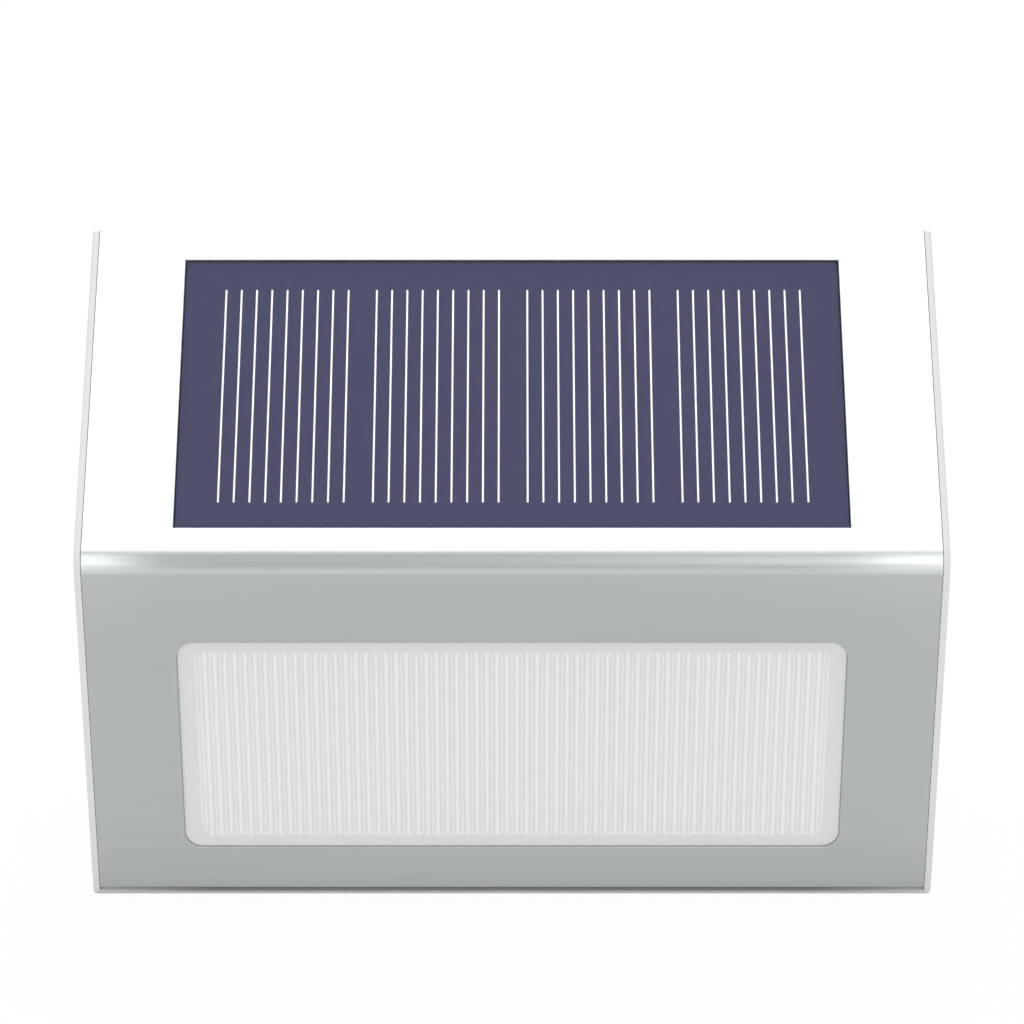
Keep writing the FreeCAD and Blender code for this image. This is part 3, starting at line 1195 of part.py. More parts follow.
def led_wire(x):
    """From the lamp board's back up to the control board's foot."""
    from_fold = WINDOW_MIDDLE - LED_WIRE_ABOVE_MIDDLE
    inward = Vector(0, math.cos(FRONT_LEAN), math.sin(FRONT_LEAN))
    start = Vector(
        x,
        FOLD_Y + from_fold * math.sin(FRONT_LEAN) + LED_BOARD_BACK * math.cos(FRONT_LEAN),
        FOLD_Z - from_fold * math.cos(FRONT_LEAN) + LED_BOARD_BACK * math.sin(FRONT_LEAN),
    )
    pad = Vector(x, BOARD_FRONT, CONTROL_Z + LED_WIRE_PAD)
    points = [start, start + inward * LED_WIRE_STUB, pad - Vector(0, WIRE_STUB, 0), pad]
    return tube_along(points, WIRE_RADIUS)


# ================================================================ all nodes
def nodes():
    return {
        "steel_cover": steel_cover(),
        "front_shell": front_shell(),
        "back_plate": back_plate(),
        "back_gasket": back_gasket(),
        "back_plate_screws": back_plate_screws(),
        "solar_resin": solar_resin(),
        "solar_cells": group([on_top(cell) for cell in solar_cells()]),
        "solar_fingers": group([on_top(finger) for finger in solar_fingers()]),
        "solar_substrate": solar_substrate(),
        "solar_adhesive": solar_adhesive(),
        "lens": lens(),
        "lens_seal": lens_seal(),
        "reflector": reflector(),
        "reflector_screws": reflector_screws(),
        "led_board": led_board(),
        "leds": leds(),
        "led_board_screws": led_board_screws(),
        "control_board": control_board(),
        "control_board_screws": control_board_screws(),
        "control_chip": control_chip(),
        "boost_inductor": boost_inductor(),
        "control_capacitor": control_capacitor(),
        "switch_body": switch_body(),
        "switch_slider": switch_slider(),
        "battery_can": battery_can(),
        "battery_sleeve": battery_sleeve(),
        "positive_contact": positive_contact(),
        "negative_contact": negative_contact(),
        "battery_door": battery_door(),
        "battery_door_seal": battery_door_seal(),
        "battery_door_screws": battery_door_screws(),
        "solar_wire_red": solar_wire(SOLAR_WIRE_X[0]),
        "solar_wire_black": solar_wire(SOLAR_WIRE_X[1]),
        "battery_wire_red": battery_wire(1),
        "battery_wire_black": battery_wire(-1),
        "led_wire_red": led_wire(LED_WIRE_X[0]),
        "led_wire_black": led_wire(LED_WIRE_X[1]),
    }


os.makedirs("parts", exist_ok=True)
for name, shape in nodes().items():
    print("%-22s solids %2d volume %9.1f" % (name, len(shape.Solids), shape.Volume))
    shape.exportStep("parts/%s.step" % name)
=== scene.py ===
"""Looks of the solar fence light: finishes, small added pieces, floor, studio light and camera.

Metres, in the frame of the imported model: +X to the right, -Y the front, +Z up.
Colours are sRGB from 0 to 255 until linear() turns them; levels and shares are linear.
"""
import bmesh
import bpy
import math
from mathutils import Matrix, Vector


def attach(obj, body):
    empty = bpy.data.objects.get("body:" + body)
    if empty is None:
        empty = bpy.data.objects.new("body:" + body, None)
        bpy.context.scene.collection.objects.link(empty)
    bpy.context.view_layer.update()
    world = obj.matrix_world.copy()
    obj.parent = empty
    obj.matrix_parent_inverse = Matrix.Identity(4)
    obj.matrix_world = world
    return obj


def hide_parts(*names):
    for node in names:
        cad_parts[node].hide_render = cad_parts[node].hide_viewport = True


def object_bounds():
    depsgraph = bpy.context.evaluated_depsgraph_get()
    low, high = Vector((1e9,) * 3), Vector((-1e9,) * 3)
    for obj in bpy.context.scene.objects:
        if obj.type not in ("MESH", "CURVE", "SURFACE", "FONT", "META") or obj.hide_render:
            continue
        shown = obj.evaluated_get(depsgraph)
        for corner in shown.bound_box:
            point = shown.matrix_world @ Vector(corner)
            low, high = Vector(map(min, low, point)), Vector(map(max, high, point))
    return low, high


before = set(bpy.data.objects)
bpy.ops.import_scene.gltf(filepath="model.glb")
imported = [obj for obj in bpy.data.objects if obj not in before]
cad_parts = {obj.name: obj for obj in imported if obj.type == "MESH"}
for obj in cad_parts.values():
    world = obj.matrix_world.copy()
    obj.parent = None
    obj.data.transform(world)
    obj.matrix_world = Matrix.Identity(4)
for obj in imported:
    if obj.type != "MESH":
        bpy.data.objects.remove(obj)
cad_low_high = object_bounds()

MM = 0.001
WHITE = (1, 1, 1, 1)
TOP_SLOPE = math.radians(35.0)            # top slope above level
FOLD = Vector((0, -50.74, 12.364)) * MM   # where the slope's and the front's planes meet

# ---------------------------------------------------------------- clear face of the solar module
RESIN_ABOVE_FINGERS = 0.03 * MM
RESIN_ROUNDING = 0.12 * MM
RESIN_LEVEL = 0.01 * MM              # corners this near its top are at the top
RESIN_INDEX = 1.3
RESIN_ROUGHNESS = 0.12
RESIN_RIPPLE = 6.0 * MM
RESIN_RIPPLE_DEPTH = 0.004 * MM

# ---------------------------------------------------------------- bead in the foot's groove: a grey sheet of painted shade, with painted light at its ends
FOOT_CENTRE = Vector((0, -33.04, -42.11)) * MM   # of the rounding at the foot
BEAD_ANGLE = math.radians(35.8)      # round the foot, below level
BEAD_LENGTH = 117.9 * MM
BEAD_WIDTH = 0.20 * MM
BEAD_TOP = 3.01 * MM                 # from the rounding's centre
BEAD_ROOT = 1.40 * MM
# painted shade of the groove, and paler ends as painted light
BEAD_SHADE_GREY = (164, 166, 166)
BEAD_LIT_END_GREY = (216, 218, 218)
BEAD_PALER_FROM = 43.0 * MM          # painted light where more light gets in: from the middle, towards each end
BEAD_PALEST_AT = 58.0 * MM

# ---------------------------------------------------------------- words at the switch
WORDS = {                            # word, X of its middle
    "off_word": ("OFF", 0.1 * MM),
    "on_word": ("ON", 11.9 * MM),
}
WORD_HEIGHT = 16.0 * MM              # Z of the words' middle
WORD_SIZE = 2.1 * MM
WORD_THICKNESS = 0.2 * MM            # half of it sunk in the wall
RECESS_FLOOR = -1.2 * MM             # Y of the wall that they stand on

# ---------------------------------------------------------------- lens
RIB_PITCH = 1.3975 * MM              # a crest at every odd half pitch from the middle
RIB_FIELD_HALF_WIDTH = 44.2 * MM
RIB_FIELD_HALF_HEIGHT = 15.65 * MM
RIB_FIELD_MIDDLE = -18.44 * MM
RIB_FIELD_CORNER = 1.5 * MM
RIB_FIELD_HIGHLIGHT = 0.22 * MM            # painted highlight: bright line round the field
RIB_FIELD_HIGHLIGHT_COLOUR = (248, 248, 248)
RIB_PAINTED_SHADING = (                       # painted highlights on crests and valleys, painted shade on the flanks: distance from a valley's middle, level
    (0.00 * MM, 0.95),
    (0.08 * MM, 0.94),
    (0.17 * MM, 0.87),
    (0.46 * MM, 0.87),
    (0.56 * MM, 0.985),
    (0.69875 * MM, 0.99),
)
LENS_BORDER = (235, 235, 235)
LENS_LOW = -36.0 * MM
LENS_HIGH = -1.0 * MM
LENS_TOP_SHADE = 0.91                     # painted shade: tone at the top over tone at the bottom
LENS_SCATTER = 0.3 * MM              # under the surface
LENS_SCATTER_RADII = (1.0, 1.0, 0.95)

# ---------------------------------------------------------------- steel cover
COVER_COLOUR = (200, 204, 205)
COVER_ROUGHNESS = (0.15, 0.18)       # least and most, from cloud to cloud
COVER_CLOUD = 9.0 * MM
COVER_CLOUD_STRETCH = (5, 1, 1)
BRUSH_LINE = 0.14 * MM               # across a line
BRUSH_STRETCH = (70, 1, 1)
BRUSH_DEPTH = 0.0026 * MM

# ---------------------------------------------------------------- circuit boards and battery
MASK_GREENS = ((18, 92, 50), (22, 100, 56))
TRACK_GREEN = (52, 132, 78)
TRACK_WIDTH = 0.04                   # as the brick texture counts it
TRACK_SCALE = 260.0                  # of the brick texture, per metre
BATTERY_GREEN = (54, 120, 84)
BATTERY_BAND = (208, 210, 206)
BATTERY_BAND_FROM = 18.0 * MM        # in X

# ---------------------------------------------------------------- other finishes, by slot
MOULDINGS = {
    "shell_plastic": {"colour": (226, 227, 227), "roughness": 0.42, "contrast": 0.012},
    "seal_rubber": {"colour": (38, 38, 40), "roughness": 0.7, "contrast": 0.08, "gloss": 0.3},
    "foam_tape": {
        "colour": (222, 220, 212), "roughness": 0.85, "grain": 0.5 * MM, "depth": 0.05 * MM
    },
    "reflector_white": {"colour": (240, 240, 238), "roughness": 0.3},
    "lamp_resin": {"colour": (238, 226, 178), "roughness": 0.15, "depth": 0.002 * MM},
    "black_epoxy": {"colour": (34, 34, 36), "roughness": 0.55, "contrast": 0.08},
    "ferrite": {"colour": (52, 50, 50), "roughness": 0.6, "contrast": 0.1},
    "knob_plastic": {"colour": (30, 30, 32), "roughness": 0.38, "contrast": 0.08},
    "wire_red": {"colour": (176, 34, 30), "roughness": 0.4},
    "wire_black": {"colour": (28, 28, 30), "roughness": 0.4},
}
METALS = {
    "screw_steel": {"colour": (188, 188, 186), "roughness": 0.24},
    "cell_silver": {"colour": (246, 246, 250), "roughness": 0.5, "mark": 0.2 * MM},
    "can_aluminium": {"colour": (200, 200, 202), "roughness": 0.28},
    "switch_can": {"colour": (196, 196, 194), "roughness": 0.25},
    "battery_steel": {"colour": (206, 206, 204), "roughness": 0.2},
    "contact_nickel": {"colour": (206, 202, 192), "roughness": 0.22},
}
NAVIES = {
    "solar_silicon": {"colour": (61, 62, 96), "roughness": 0.4, "grain": 0.9 * MM},
    "module_board": {"colour": (61, 62, 95), "roughness": 0.5, "grain": 0.5 * MM},
}
CLOUD_OVER_GRAIN = 40                # size of a moulding's clouds over that of its grain
NOISE_MIDDLE = (0.3, 0.7)            # most of a noise lies between these

# ---------------------------------------------------------------- camera
CAMERA_BACK = 633.84 * MM            # from the fold
CAMERA_UP = 239.1 * MM
CAMERA_PITCH = math.radians(20.1)    # looking down
CAMERA_LENS = 174.4                  # mm, on the sensor below
CAMERA_SENSOR = 36.0                 # mm

# ---------------------------------------------------------------- studio
WORLD_LEVEL = 0.82                   # pale room round the object
FLOOR_SIZE = 8.0
FLOOR_ALBEDO = 0.93
WASH_FOR_CAMERA = 0.95               # share of plain white in the floor as the camera sees it
WASH_FOR_GLOSS = 0.85                # share of the painted light and shade of the floor below, as metal and resin see it
PAINTED_FLOOR_LIGHT_AND_SHADE = (                   # painted shadow of the object near it, painted pool of light further out: distance in front of the fence plane, brightness
    (-0.0400, 1.00),
    (0.0000, 0.36),
    (0.0360, 0.36),
    (0.0378, 0.575),
    (0.0384, 0.66),
    (0.0392, 0.70),
    (0.0410, 0.745),
    (0.0460, 0.755),
    (0.0660, 0.76),
    (0.0950, 0.65),
    (0.1080, 1.00),
    (0.1400, 1.00),
    (0.1900, 0.89),
    (0.3200, 0.725),
    (0.8000, 0.66),
)
GLOW_IN_METAL = (                    # the same for a painted glow on top of it, a wedge on each side
    (0.0980, 0.0),
    (0.1080, 0.05),
    (0.1380, 0.19),
    (0.1920, 0.41),
    (0.3200, 0.80),
)
GLOW_ASIDE = (                       # distance from the middle where the wedges start, share
    (45.0 * MM, 0.0),
    (48.0 * MM, 0.15),
    (51.5 * MM, 0.65),
    (55.0 * MM, 0.95),
    (58.0 * MM, 1.0),
)
GLOW_MIDDLE = -2.5 * MM
GLOW_START = 0.05                    # in front of the fence plane
GLOW_SPREAD = 1.58                   # widening per metre further out
PANEL_ASIDE = (                      # pale panel on the right in front: sideways part, share
    (-0.03, 0.0),
    (0.00, 0.17),
    (0.03, 0.40),
    (0.05, 0.82),
    (0.07, 1.0),
    (0.16, 1.0),
    (0.24, 0.0),
)
PANEL_UPWARD = (                     # the same for the upward part of the direction
    (-0.16, 0.0),
    (0.10, 0.8),
    (0.40, 1.0),
    (0.76, 0.3),
    (0.92, 0.0),
)
PANEL_LEVEL = 0.52                   # brightness above the room's
ROOM_DIP = (                         # upward part, loss of the room in front, for metal and resin
    (-0.10, 0.085),
    (0.14, 0.078),
    (0.30, 0.058),
    (0.46, 0.050),
    (0.60, 0.075),
    (0.74, 0.105),
    (0.84, 0.0),
)
BOX_DISTANCE = 0.9                   # of the two large softboxes from the fold
TOP_BOX_LEVEL = 1.15                 # radiance, on top of the room's
TOP_BOX_WIDTH = 0.40
TOP_BOX_FRONT_ANGLE = math.radians(21.0)
TOP_BOX_REAR_ANGLE = math.radians(28.0)
REAR_BOX_LEVEL = 1.1
REAR_BOX_WIDTH = 0.5
REAR_BOX_TILT = math.radians(35.0)   # of its middle above level, behind the object
REAR_BOX_HALF_ANGLE = math.radians(28.0)
STRIP_BACK = 0.25                    # of two upright strips, one on each side, in front of the fold
STRIPS = {                           # inner edge, radiance, lower end as seen from the fold
    "left_strip": (-70.0 * MM, 1.07, math.radians(-1.5)),
    "right_strip": (66.0 * MM, 0.75, math.radians(3.0)),
}
STRIP_WIDTH = 45.0 * MM
STRIP_HIGH_ANGLE = math.radians(52.0)
STRIP_LEAN = math.radians(2.6)       # tops outward


# ================================================================ node helpers
def linear(colour):
    """Linear colour of an sRGB colour given from 0 to 255."""
    values = []
    for level in colour:
        share = level / 255
        values.append(share / 12.92 if share <= 0.04045 else ((share + 0.055) / 1.055) ** 2.4)
    return (*values, 1.0)


def shade(colour, factor):
    """A linear colour at factor times its level."""
    return (*[channel * factor for channel in colour[:3]], 1.0)


def new_material(name):
    material = bpy.data.materials.new(name)
    material.use_nodes = True
    return material, material.node_tree, material.node_tree.nodes["Principled BSDF"]


def join(tree, value, socket):
    """Feed a socket from an output, or set it to a value."""
    if isinstance(value, bpy.types.NodeSocket):
        tree.links.new(value, socket)
    else:
        socket.default_value = value


def feed(tree, node, **settings):
    """Feed the node's inputs by their names; a name that no input has is an attribute's."""
    for name, value in settings.items():
        matching = [
            socket for socket in node.inputs if socket.name.lower().replace(" ", "_") == name
        ]
        if matching:
            join(tree, value, matching[0])
        else:
            setattr(node, name, value)


def add(tree, kind, **settings):
    """New node with its settings."""
    node = tree.nodes.new(kind)
    feed(tree, node, **settings)
    return node


def axes(tree, kind="Object"):
    """X, Y and Z of the object's own coordinates, or of another kind."""
    place = add(tree, "ShaderNodeTexCoord").outputs[kind]
    return add(tree, "ShaderNodeSeparateXYZ", vector=place).outputs


def noise(tree, size, stretch=(1, 1, 1), detail=2.0, roughness=0.5):
    """Noise from 0 to 1 in the object's own space, with spots of a size, longer where stretched."""
    place = add(tree, "ShaderNodeTexCoord").outputs["Object"]
    scale = [1 / (size * longer) for longer in stretch]
    mapping = add(tree, "ShaderNodeMapping", vector=place, scale=scale)
    texture = add(
        tree, "ShaderNodeTexNoise",
        vector=mapping.outputs["Vector"], scale=1.0, detail=detail, roughness=roughness,
    )
    return texture.outputs["Fac"]


def spread(tree, source, low, high):
    """The middle of a noise spread over low to high."""
    spreader = add(
        tree, "ShaderNodeMapRange",
        value=source, from_min=NOISE_MIDDLE[0], from_max=NOISE_MIDDLE[1], to_min=low, to_max=high,
    )
    return spreader.outputs["Result"]


def blended(tree, share, first, second, blend="MIX"):
    """Mix of two colours; share, first and second are outputs or values."""
    mix = add(tree, "ShaderNodeMix", data_type="RGBA", blend_type=blend)
    colours = [socket for socket in mix.inputs if socket.type == "RGBA"]
    join(tree, share, mix.inputs["Factor"])
    join(tree, first, colours[0])
    join(tree, second, colours[1])
    return [socket for socket in mix.outputs if socket.type == "RGBA"][0]


def mottled(tree, source, colour, low, high):
    """A linear colour at low to high times its level, by a noise."""
    return blended(tree, spread(tree, source, 0.0, 1.0), shade(colour, low), shade(colour, high))


def bump(tree, shader, source, depth):
    """Relief of a given depth on a shader."""
    relief = add(tree, "ShaderNodeBump", height=source, strength=1.0, distance=depth)
    feed(tree, shader, normal=relief.outputs["Normal"])


def calculated(tree, operation, *operands):
    """Math node's value; operands are outputs or numbers."""
    node = add(tree, "ShaderNodeMath", operation=operation)
    for operand, socket in zip(operands, node.inputs):
        join(tree, operand, socket)
    return node.outputs["Value"]


def past(tree, coordinate, middle, half):
    """How far a coordinate lies outside middle plus or minus half."""
    aside = calculated(tree, "ABSOLUTE", calculated(tree, "SUBTRACT", coordinate, middle))
    return calculated(tree, "MAXIMUM", calculated(tree, "SUBTRACT", aside, half), 0.0)


def ramp(tree, source, stops):
    """Colour ramp over source; stops are (place from 0 to 1, grey level)."""
    node = add(tree, "ShaderNodeValToRGB", fac=source)
    elements = node.color_ramp.elements
    for spare in range(len(stops) - 2):
        elements.new(0.5)
    for element, (place, level) in zip(elements, stops):
        element.position = place
        element.color = (level, level, level, 1)
    return node.outputs["Color"]


def signed_ramp(tree, source, stops):
    """The same over a source from -1 to 1."""
    halved = calculated(tree, "MULTIPLY_ADD", source, 0.5, 0.5)
    return ramp(tree, halved, [(0.5 + place / 2, level) for place, level in stops])


def mixed(tree, share, first, second):
    """Node that mixes two nodes' shaders."""
    mix = add(tree, "ShaderNodeMixShader", fac=share)
    tree.links.new(first.outputs[0], mix.inputs[1])
    tree.links.new(second.outputs[0], mix.inputs[2])
    return mix


# ================================================================ finishes
def brushed_cover():
    """Stainless sheet, brushed along X."""
    material, tree, shader = new_material("brushed_cover")
    lines = noise(tree, BRUSH_LINE, BRUSH_STRETCH, detail=3.0, roughness=0.6)
    clouds = noise(tree, COVER_CLOUD, COVER_CLOUD_STRETCH)
    across_lines = add(tree, "ShaderNodeTangent", direction_type="RADIAL", axis="X")
    feed(
        tree, shader,
        base_color=mottled(tree, lines, linear(COVER_COLOUR), low=0.975, high=1.025),
        roughness=spread(tree, clouds, *COVER_ROUGHNESS),
        metallic=1.0,
        anisotropic=1.0,
        tangent=across_lines.outputs["Tangent"],
    )
    bump(tree, shader, lines, BRUSH_DEPTH)
    return material


def metal(name, colour, roughness, mark=0.4 * MM):
    """Plain metal with fine marks."""
    material, tree, shader = new_material(name)
    marks = noise(tree, mark, detail=3.0)
    feed(
        tree, shader,
        base_color=mottled(tree, marks, linear(colour), low=0.93, high=1.05),
        roughness=spread(tree, marks, low=roughness * 0.8, high=roughness * 1.25),
        metallic=1.0,
    )
    bump(tree, shader, marks, depth=0.001 * MM)
    return material


def moulded(name, colour, roughness, grain=0.35 * MM, depth=0.006 * MM, contrast=0.03, gloss=0.5):
    """Moulded plastic or rubber: fine eroded grain, broad faint clouds."""
    material, tree, shader = new_material(name)
    grains = noise(tree, grain)
    clouds = noise(tree, grain * CLOUD_OVER_GRAIN, detail=1.0)
    feed(
        tree, shader,
        base_color=mottled(tree, clouds, linear(colour), low=1 - contrast, high=1 + contrast),
        roughness=spread(tree, grains, low=roughness * 0.88, high=roughness * 1.12),
        specular_ior_level=gloss,
    )
    bump(tree, shader, grains, depth)
    return material


def navy(name, colour, roughness, grain):
    """Silicon or board under the resin: fine crystalline mottling."""
    material, tree, shader = new_material(name)
    grains = noise(tree, grain, detail=4.0, roughness=0.6)
    feed(
        tree, shader,
        base_color=mottled(tree, grains, linear(colour), low=0.93, high=1.07),
        roughness=spread(tree, grains, low=roughness, high=roughness * 1.2),
        specular_ior_level=0.0,
    )
    bump(tree, shader, grains, depth=0.002 * MM)
    return material


def frosted_lens():
    """Milky lens: plain border, and a rib field with painted highlights on its crests and valleys,
    painted shade on its flanks and a painted highlight line round it; darker towards the top as
    painted shade.
    """
    material, tree, shader = new_material("frosted_lens")
    place = axes(tree)
    # painted shade and highlights across each rib, from the distance to a valley's middle
    from_valley = calculated(tree, "PINGPONG", place["X"], RIB_PITCH / 2)
    stops = [(distance / RIB_PITCH * 2, level) for distance, level in RIB_PAINTED_SHADING]
    painted_rib_shading = ramp(tree, calculated(tree, "DIVIDE", from_valley, RIB_PITCH / 2), stops)
    beyond = (
        past(tree, place["X"], 0.0, RIB_FIELD_HALF_WIDTH - RIB_FIELD_CORNER),
        past(tree, place["Z"], RIB_FIELD_MIDDLE, RIB_FIELD_HALF_HEIGHT - RIB_FIELD_CORNER),
    )
    squares = [calculated(tree, "POWER", distance, 2.0) for distance in beyond]
    from_inside = calculated(tree, "SQRT", calculated(tree, "ADD", *squares))
    on_border = calculated(tree, "GREATER_THAN", from_inside, RIB_FIELD_CORNER)
    # painted highlight: a bright line round the rib field
    off_ribs = calculated(tree, "GREATER_THAN", from_inside, RIB_FIELD_CORNER - RIB_FIELD_HIGHLIGHT)
    rim_highlighted = blended(tree, off_ribs, painted_rib_shading, linear(RIB_FIELD_HIGHLIGHT_COLOUR))
    tone = blended(tree, on_border, rim_highlighted, linear(LENS_BORDER))
    # painted shade: the lens darker towards its top
    top_shading = add(
        tree, "ShaderNodeMapRange",
        value=place["Z"], from_min=LENS_LOW, from_max=LENS_HIGH, to_min=1.0, to_max=LENS_TOP_SHADE,
    )
    top_shaded = blended(tree, 1.0, tone, top_shading.outputs["Result"], "MULTIPLY")
    grain = noise(tree, size=0.35 * MM, detail=3.0)
    mottling = mottled(tree, grain, WHITE, low=0.965, high=1.0)
    feed(
        tree, shader,
        base_color=blended(tree, 1.0, top_shaded, mottling, "MULTIPLY"),
        roughness=spread(tree, grain, low=0.42, high=0.55),
        subsurface_weight=0.15,
        subsurface_radius=LENS_SCATTER_RADII,
        subsurface_scale=LENS_SCATTER,
    )
    bump(tree, shader, grain, depth=0.008 * MM)
    return material


def clear_resin():
    """Clear cast resin: lets the cells show, with a soft surface gloss."""
    material, tree, shader = new_material("clear_resin")
    tree.nodes.remove(shader)
    gloss = add(tree, "ShaderNodeBsdfAnisotropic", color=WHITE, roughness=RESIN_ROUGHNESS)
    bump(tree, gloss, noise(tree, RESIN_RIPPLE, detail=1.0), RESIN_RIPPLE_DEPTH)
    clear = add(tree, "ShaderNodeBsdfTransparent", color=WHITE)
    fresnel = add(tree, "ShaderNodeFresnel", ior=RESIN_INDEX)
    face = add(tree, "ShaderNodeNewGeometry")
    from_outside = calculated(tree, "SUBTRACT", 1.0, face.outputs["Backfacing"])
    share = calculated(tree, "MULTIPLY", fresnel.outputs["Fac"], from_outside)
    feed(tree, tree.nodes["Material Output"], surface=mixed(tree, share, clear, gloss).outputs[0])
    return material


def circuit_board():
    """Green solder mask over a faint pattern of tracks."""
    material, tree, shader = new_material("circuit_board")
    place = add(tree, "ShaderNodeTexCoord").outputs["Object"]
    upright = add(tree, "ShaderNodeMapping", vector=place, rotation=(math.radians(90), 0, 0))
    tracks = add(
        tree, "ShaderNodeTexBrick",
        vector=upright.outputs["Vector"],
        color1=linear(MASK_GREENS[0]),
        color2=linear(MASK_GREENS[1]),
        mortar=linear(TRACK_GREEN),
        mortar_size=TRACK_WIDTH,
        scale=TRACK_SCALE,
    )
    grain = noise(tree, size=0.5 * MM)
    feed(
        tree, shader,
        base_color=tracks.outputs["Color"],
        roughness=spread(tree, grain, low=0.3, high=0.4),
    )
    bump(tree, shader, tracks.outputs["Fac"], depth=0.02 * MM)
    return material


def battery_print():
    """Plain printed shrink sleeve, one band lighter than the rest."""
    material, tree, shader = new_material("battery_print")
    on_band = calculated(tree, "GREATER_THAN", axes(tree)["X"], BATTERY_BAND_FROM)
    wrinkles = noise(tree, size=2.5 * MM, stretch=(6, 1, 1))
    feed(
        tree, shader,
        base_color=blended(tree, on_band, linear(BATTERY_GREEN), linear(BATTERY_BAND)),
        roughness=spread(tree, wrinkles, low=0.25, high=0.36),
    )
    bump(tree, shader, wrinkles, depth=0.03 * MM)
    return material


def sealant():
    """Grey painted shade of the groove, paler towards the ends as painted light, where more light
    gets in.
    """
    material, tree, shader = new_material("sealant")
    aside = calculated(tree, "ABSOLUTE", axes(tree)["X"])
    outwards = add(
        tree, "ShaderNodeMapRange", value=aside, from_min=BEAD_PALER_FROM, from_max=BEAD_PALEST_AT
    )
    # painted shade in the middle of the groove, painted light towards its ends
    tone = blended(tree, outwards.outputs["Result"], linear(BEAD_SHADE_GREY), linear(BEAD_LIT_END_GREY))
    grain = noise(tree, size=0.35 * MM)
    mottling = mottled(tree, grain, WHITE, low=0.94, high=1.0)
    feed(
        tree, shader,
        base_color=blended(tree, 1.0, tone, mottling, "MULTIPLY"),
        roughness=spread(tree, grain, low=0.6, high=0.75),
        specular_ior_level=0.3,
    )
    bump(tree, shader, grain, depth=0.004 * MM)
    return material


def finishes():
    """Every material slot of the record, with its finish, and the bead's."""
    finish = {
        "brushed_cover": brushed_cover(),
        "frosted_lens": frosted_lens(),
        "clear_resin": clear_resin(),
        "circuit_board": circuit_board(),
        "battery_print": battery_print(),
        "sealant": sealant(),
    }
    for make, rows in ((moulded, MOULDINGS), (metal, METALS), (navy, NAVIES)):
        for name, row in rows.items():
            finish[name] = make(name, **row)
    return finish


def dress_nodes(finish):
    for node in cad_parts.values():
        for material_slot in node.material_slots:
            material_slot.material = finish[material_slot.material.name.split(".")[0]]


# ================================================================ added pieces
def link(name, data):
    """Object of a mesh, curve, lamp or camera, in the scene."""
    thing = bpy.data.objects.new(name, data)
    bpy.context.scene.collection.objects.link(thing)
    return thing


def made(name, shape, *materials):
    """Object of a bmesh, which this frees."""
    mesh = bpy.data.meshes.new(name)
    shape.to_mesh(mesh)
    shape.free()
    for material in materials:
        mesh.materials.append(material)
    return link(name, mesh)


def resin_face(finish):
    """Clear face of the solar module, with softly rounded edges and sides like its board."""
    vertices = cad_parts["solar_resin"].data.vertices
    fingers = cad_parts["solar_fingers"].data.vertices
    up_slope = Vector((0, math.cos(TOP_SLOPE), math.sin(TOP_SLOPE)))
    outward = Vector((0, -math.sin(TOP_SLOPE), math.cos(TOP_SLOPE)))
    across = [vertex.co.x for vertex in vertices]
    along = [vertex.co.dot(up_slope) for vertex in vertices]
    top = max(vertex.co.dot(outward) for vertex in vertices)
    bottom = max(vertex.co.dot(outward) for vertex in fingers) + RESIN_ABOVE_FINGERS
    shape = bmesh.new()
    bmesh.ops.create_cube(shape, size=1.0)
    for vertex in shape.verts:
        x = min(across) if vertex.co.x < 0 else max(across)
        up = min(along) if vertex.co.y < 0 else max(along)
        out = bottom if vertex.co.z < 0 else top
        vertex.co = Vector((x, 0, 0)) + up_slope * up + outward * out
    upper = [
        edge for edge in shape.edges
        if all(abs(vertex.co.dot(outward) - top) < RESIN_LEVEL for vertex in edge.verts)
    ]
    bmesh.ops.bevel(
        shape, geom=upper, offset=RESIN_ROUNDING, segments=3, affect="EDGES", profile=0.5
    )
    bmesh.ops.recalc_face_normals(shape, faces=shape.faces)
    for face in shape.faces:
        face.material_index = 0 if abs(face.normal.dot(outward)) > 0.5 else 1
    piece = made("resin_face", shape, finish["clear_resin"], finish["module_board"])
    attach(piece, "housing")
    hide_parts("solar_resin")


def sealant_bead(finish):
    """Thin grey bead on the lower wall of the groove under the cover's lower edge, a sheet of
    painted shade where the groove is in shade.
    """
    outward = Vector((0, -math.cos(BEAD_ANGLE), -math.sin(BEAD_ANGLE)))
    along = Vector((0, math.sin(BEAD_ANGLE), -math.cos(BEAD_ANGLE)))
    shape = bmesh.new()
    bmesh.ops.create_cube(shape, size=1.0)
    for vertex in shape.verts:
        from_centre = outward * (BEAD_TOP if vertex.co.z > 0 else BEAD_ROOT)
        sideways = Vector((vertex.co.x * BEAD_LENGTH, 0, 0))
        vertex.co = FOOT_CENTRE + sideways + along * (vertex.co.y * BEAD_WIDTH) + from_centre
    bmesh.ops.recalc_face_normals(shape, faces=shape.faces)
    piece = made("sealant_bead", shape, finish["sealant"])
    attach(piece, "housing")


def switch_word(name, word, place_x, finish):
    """Raised word in the switch's recess, read from behind."""
    curve = bpy.data.curves.new(name, "FONT")
    curve.body = word
    curve.size = WORD_SIZE
    curve.extrude = WORD_THICKNESS / 2
    curve.align_x = "CENTER"
    curve.align_y = "CENTER"
    drawn = link(name + "_curve", curve)
    bpy.context.view_layer.update()
    evaluated = drawn.evaluated_get(bpy.context.evaluated_depsgraph_get())
    mesh = bpy.data.meshes.new_from_object(evaluated)
    bpy.data.objects.remove(drawn)
    facing_back = Matrix(((-1, 0, 0, 0), (0, 0, 1, 0), (0, 1, 0, 0), (0, 0, 0, 1)))
    mesh.transform(Matrix.Translation((place_x, RECESS_FLOOR, WORD_HEIGHT)) @ facing_back)
    mesh.materials.clear()
    mesh.materials.append(finish["knob_plastic"])
    piece = link(name, mesh)
    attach(piece, "housing")


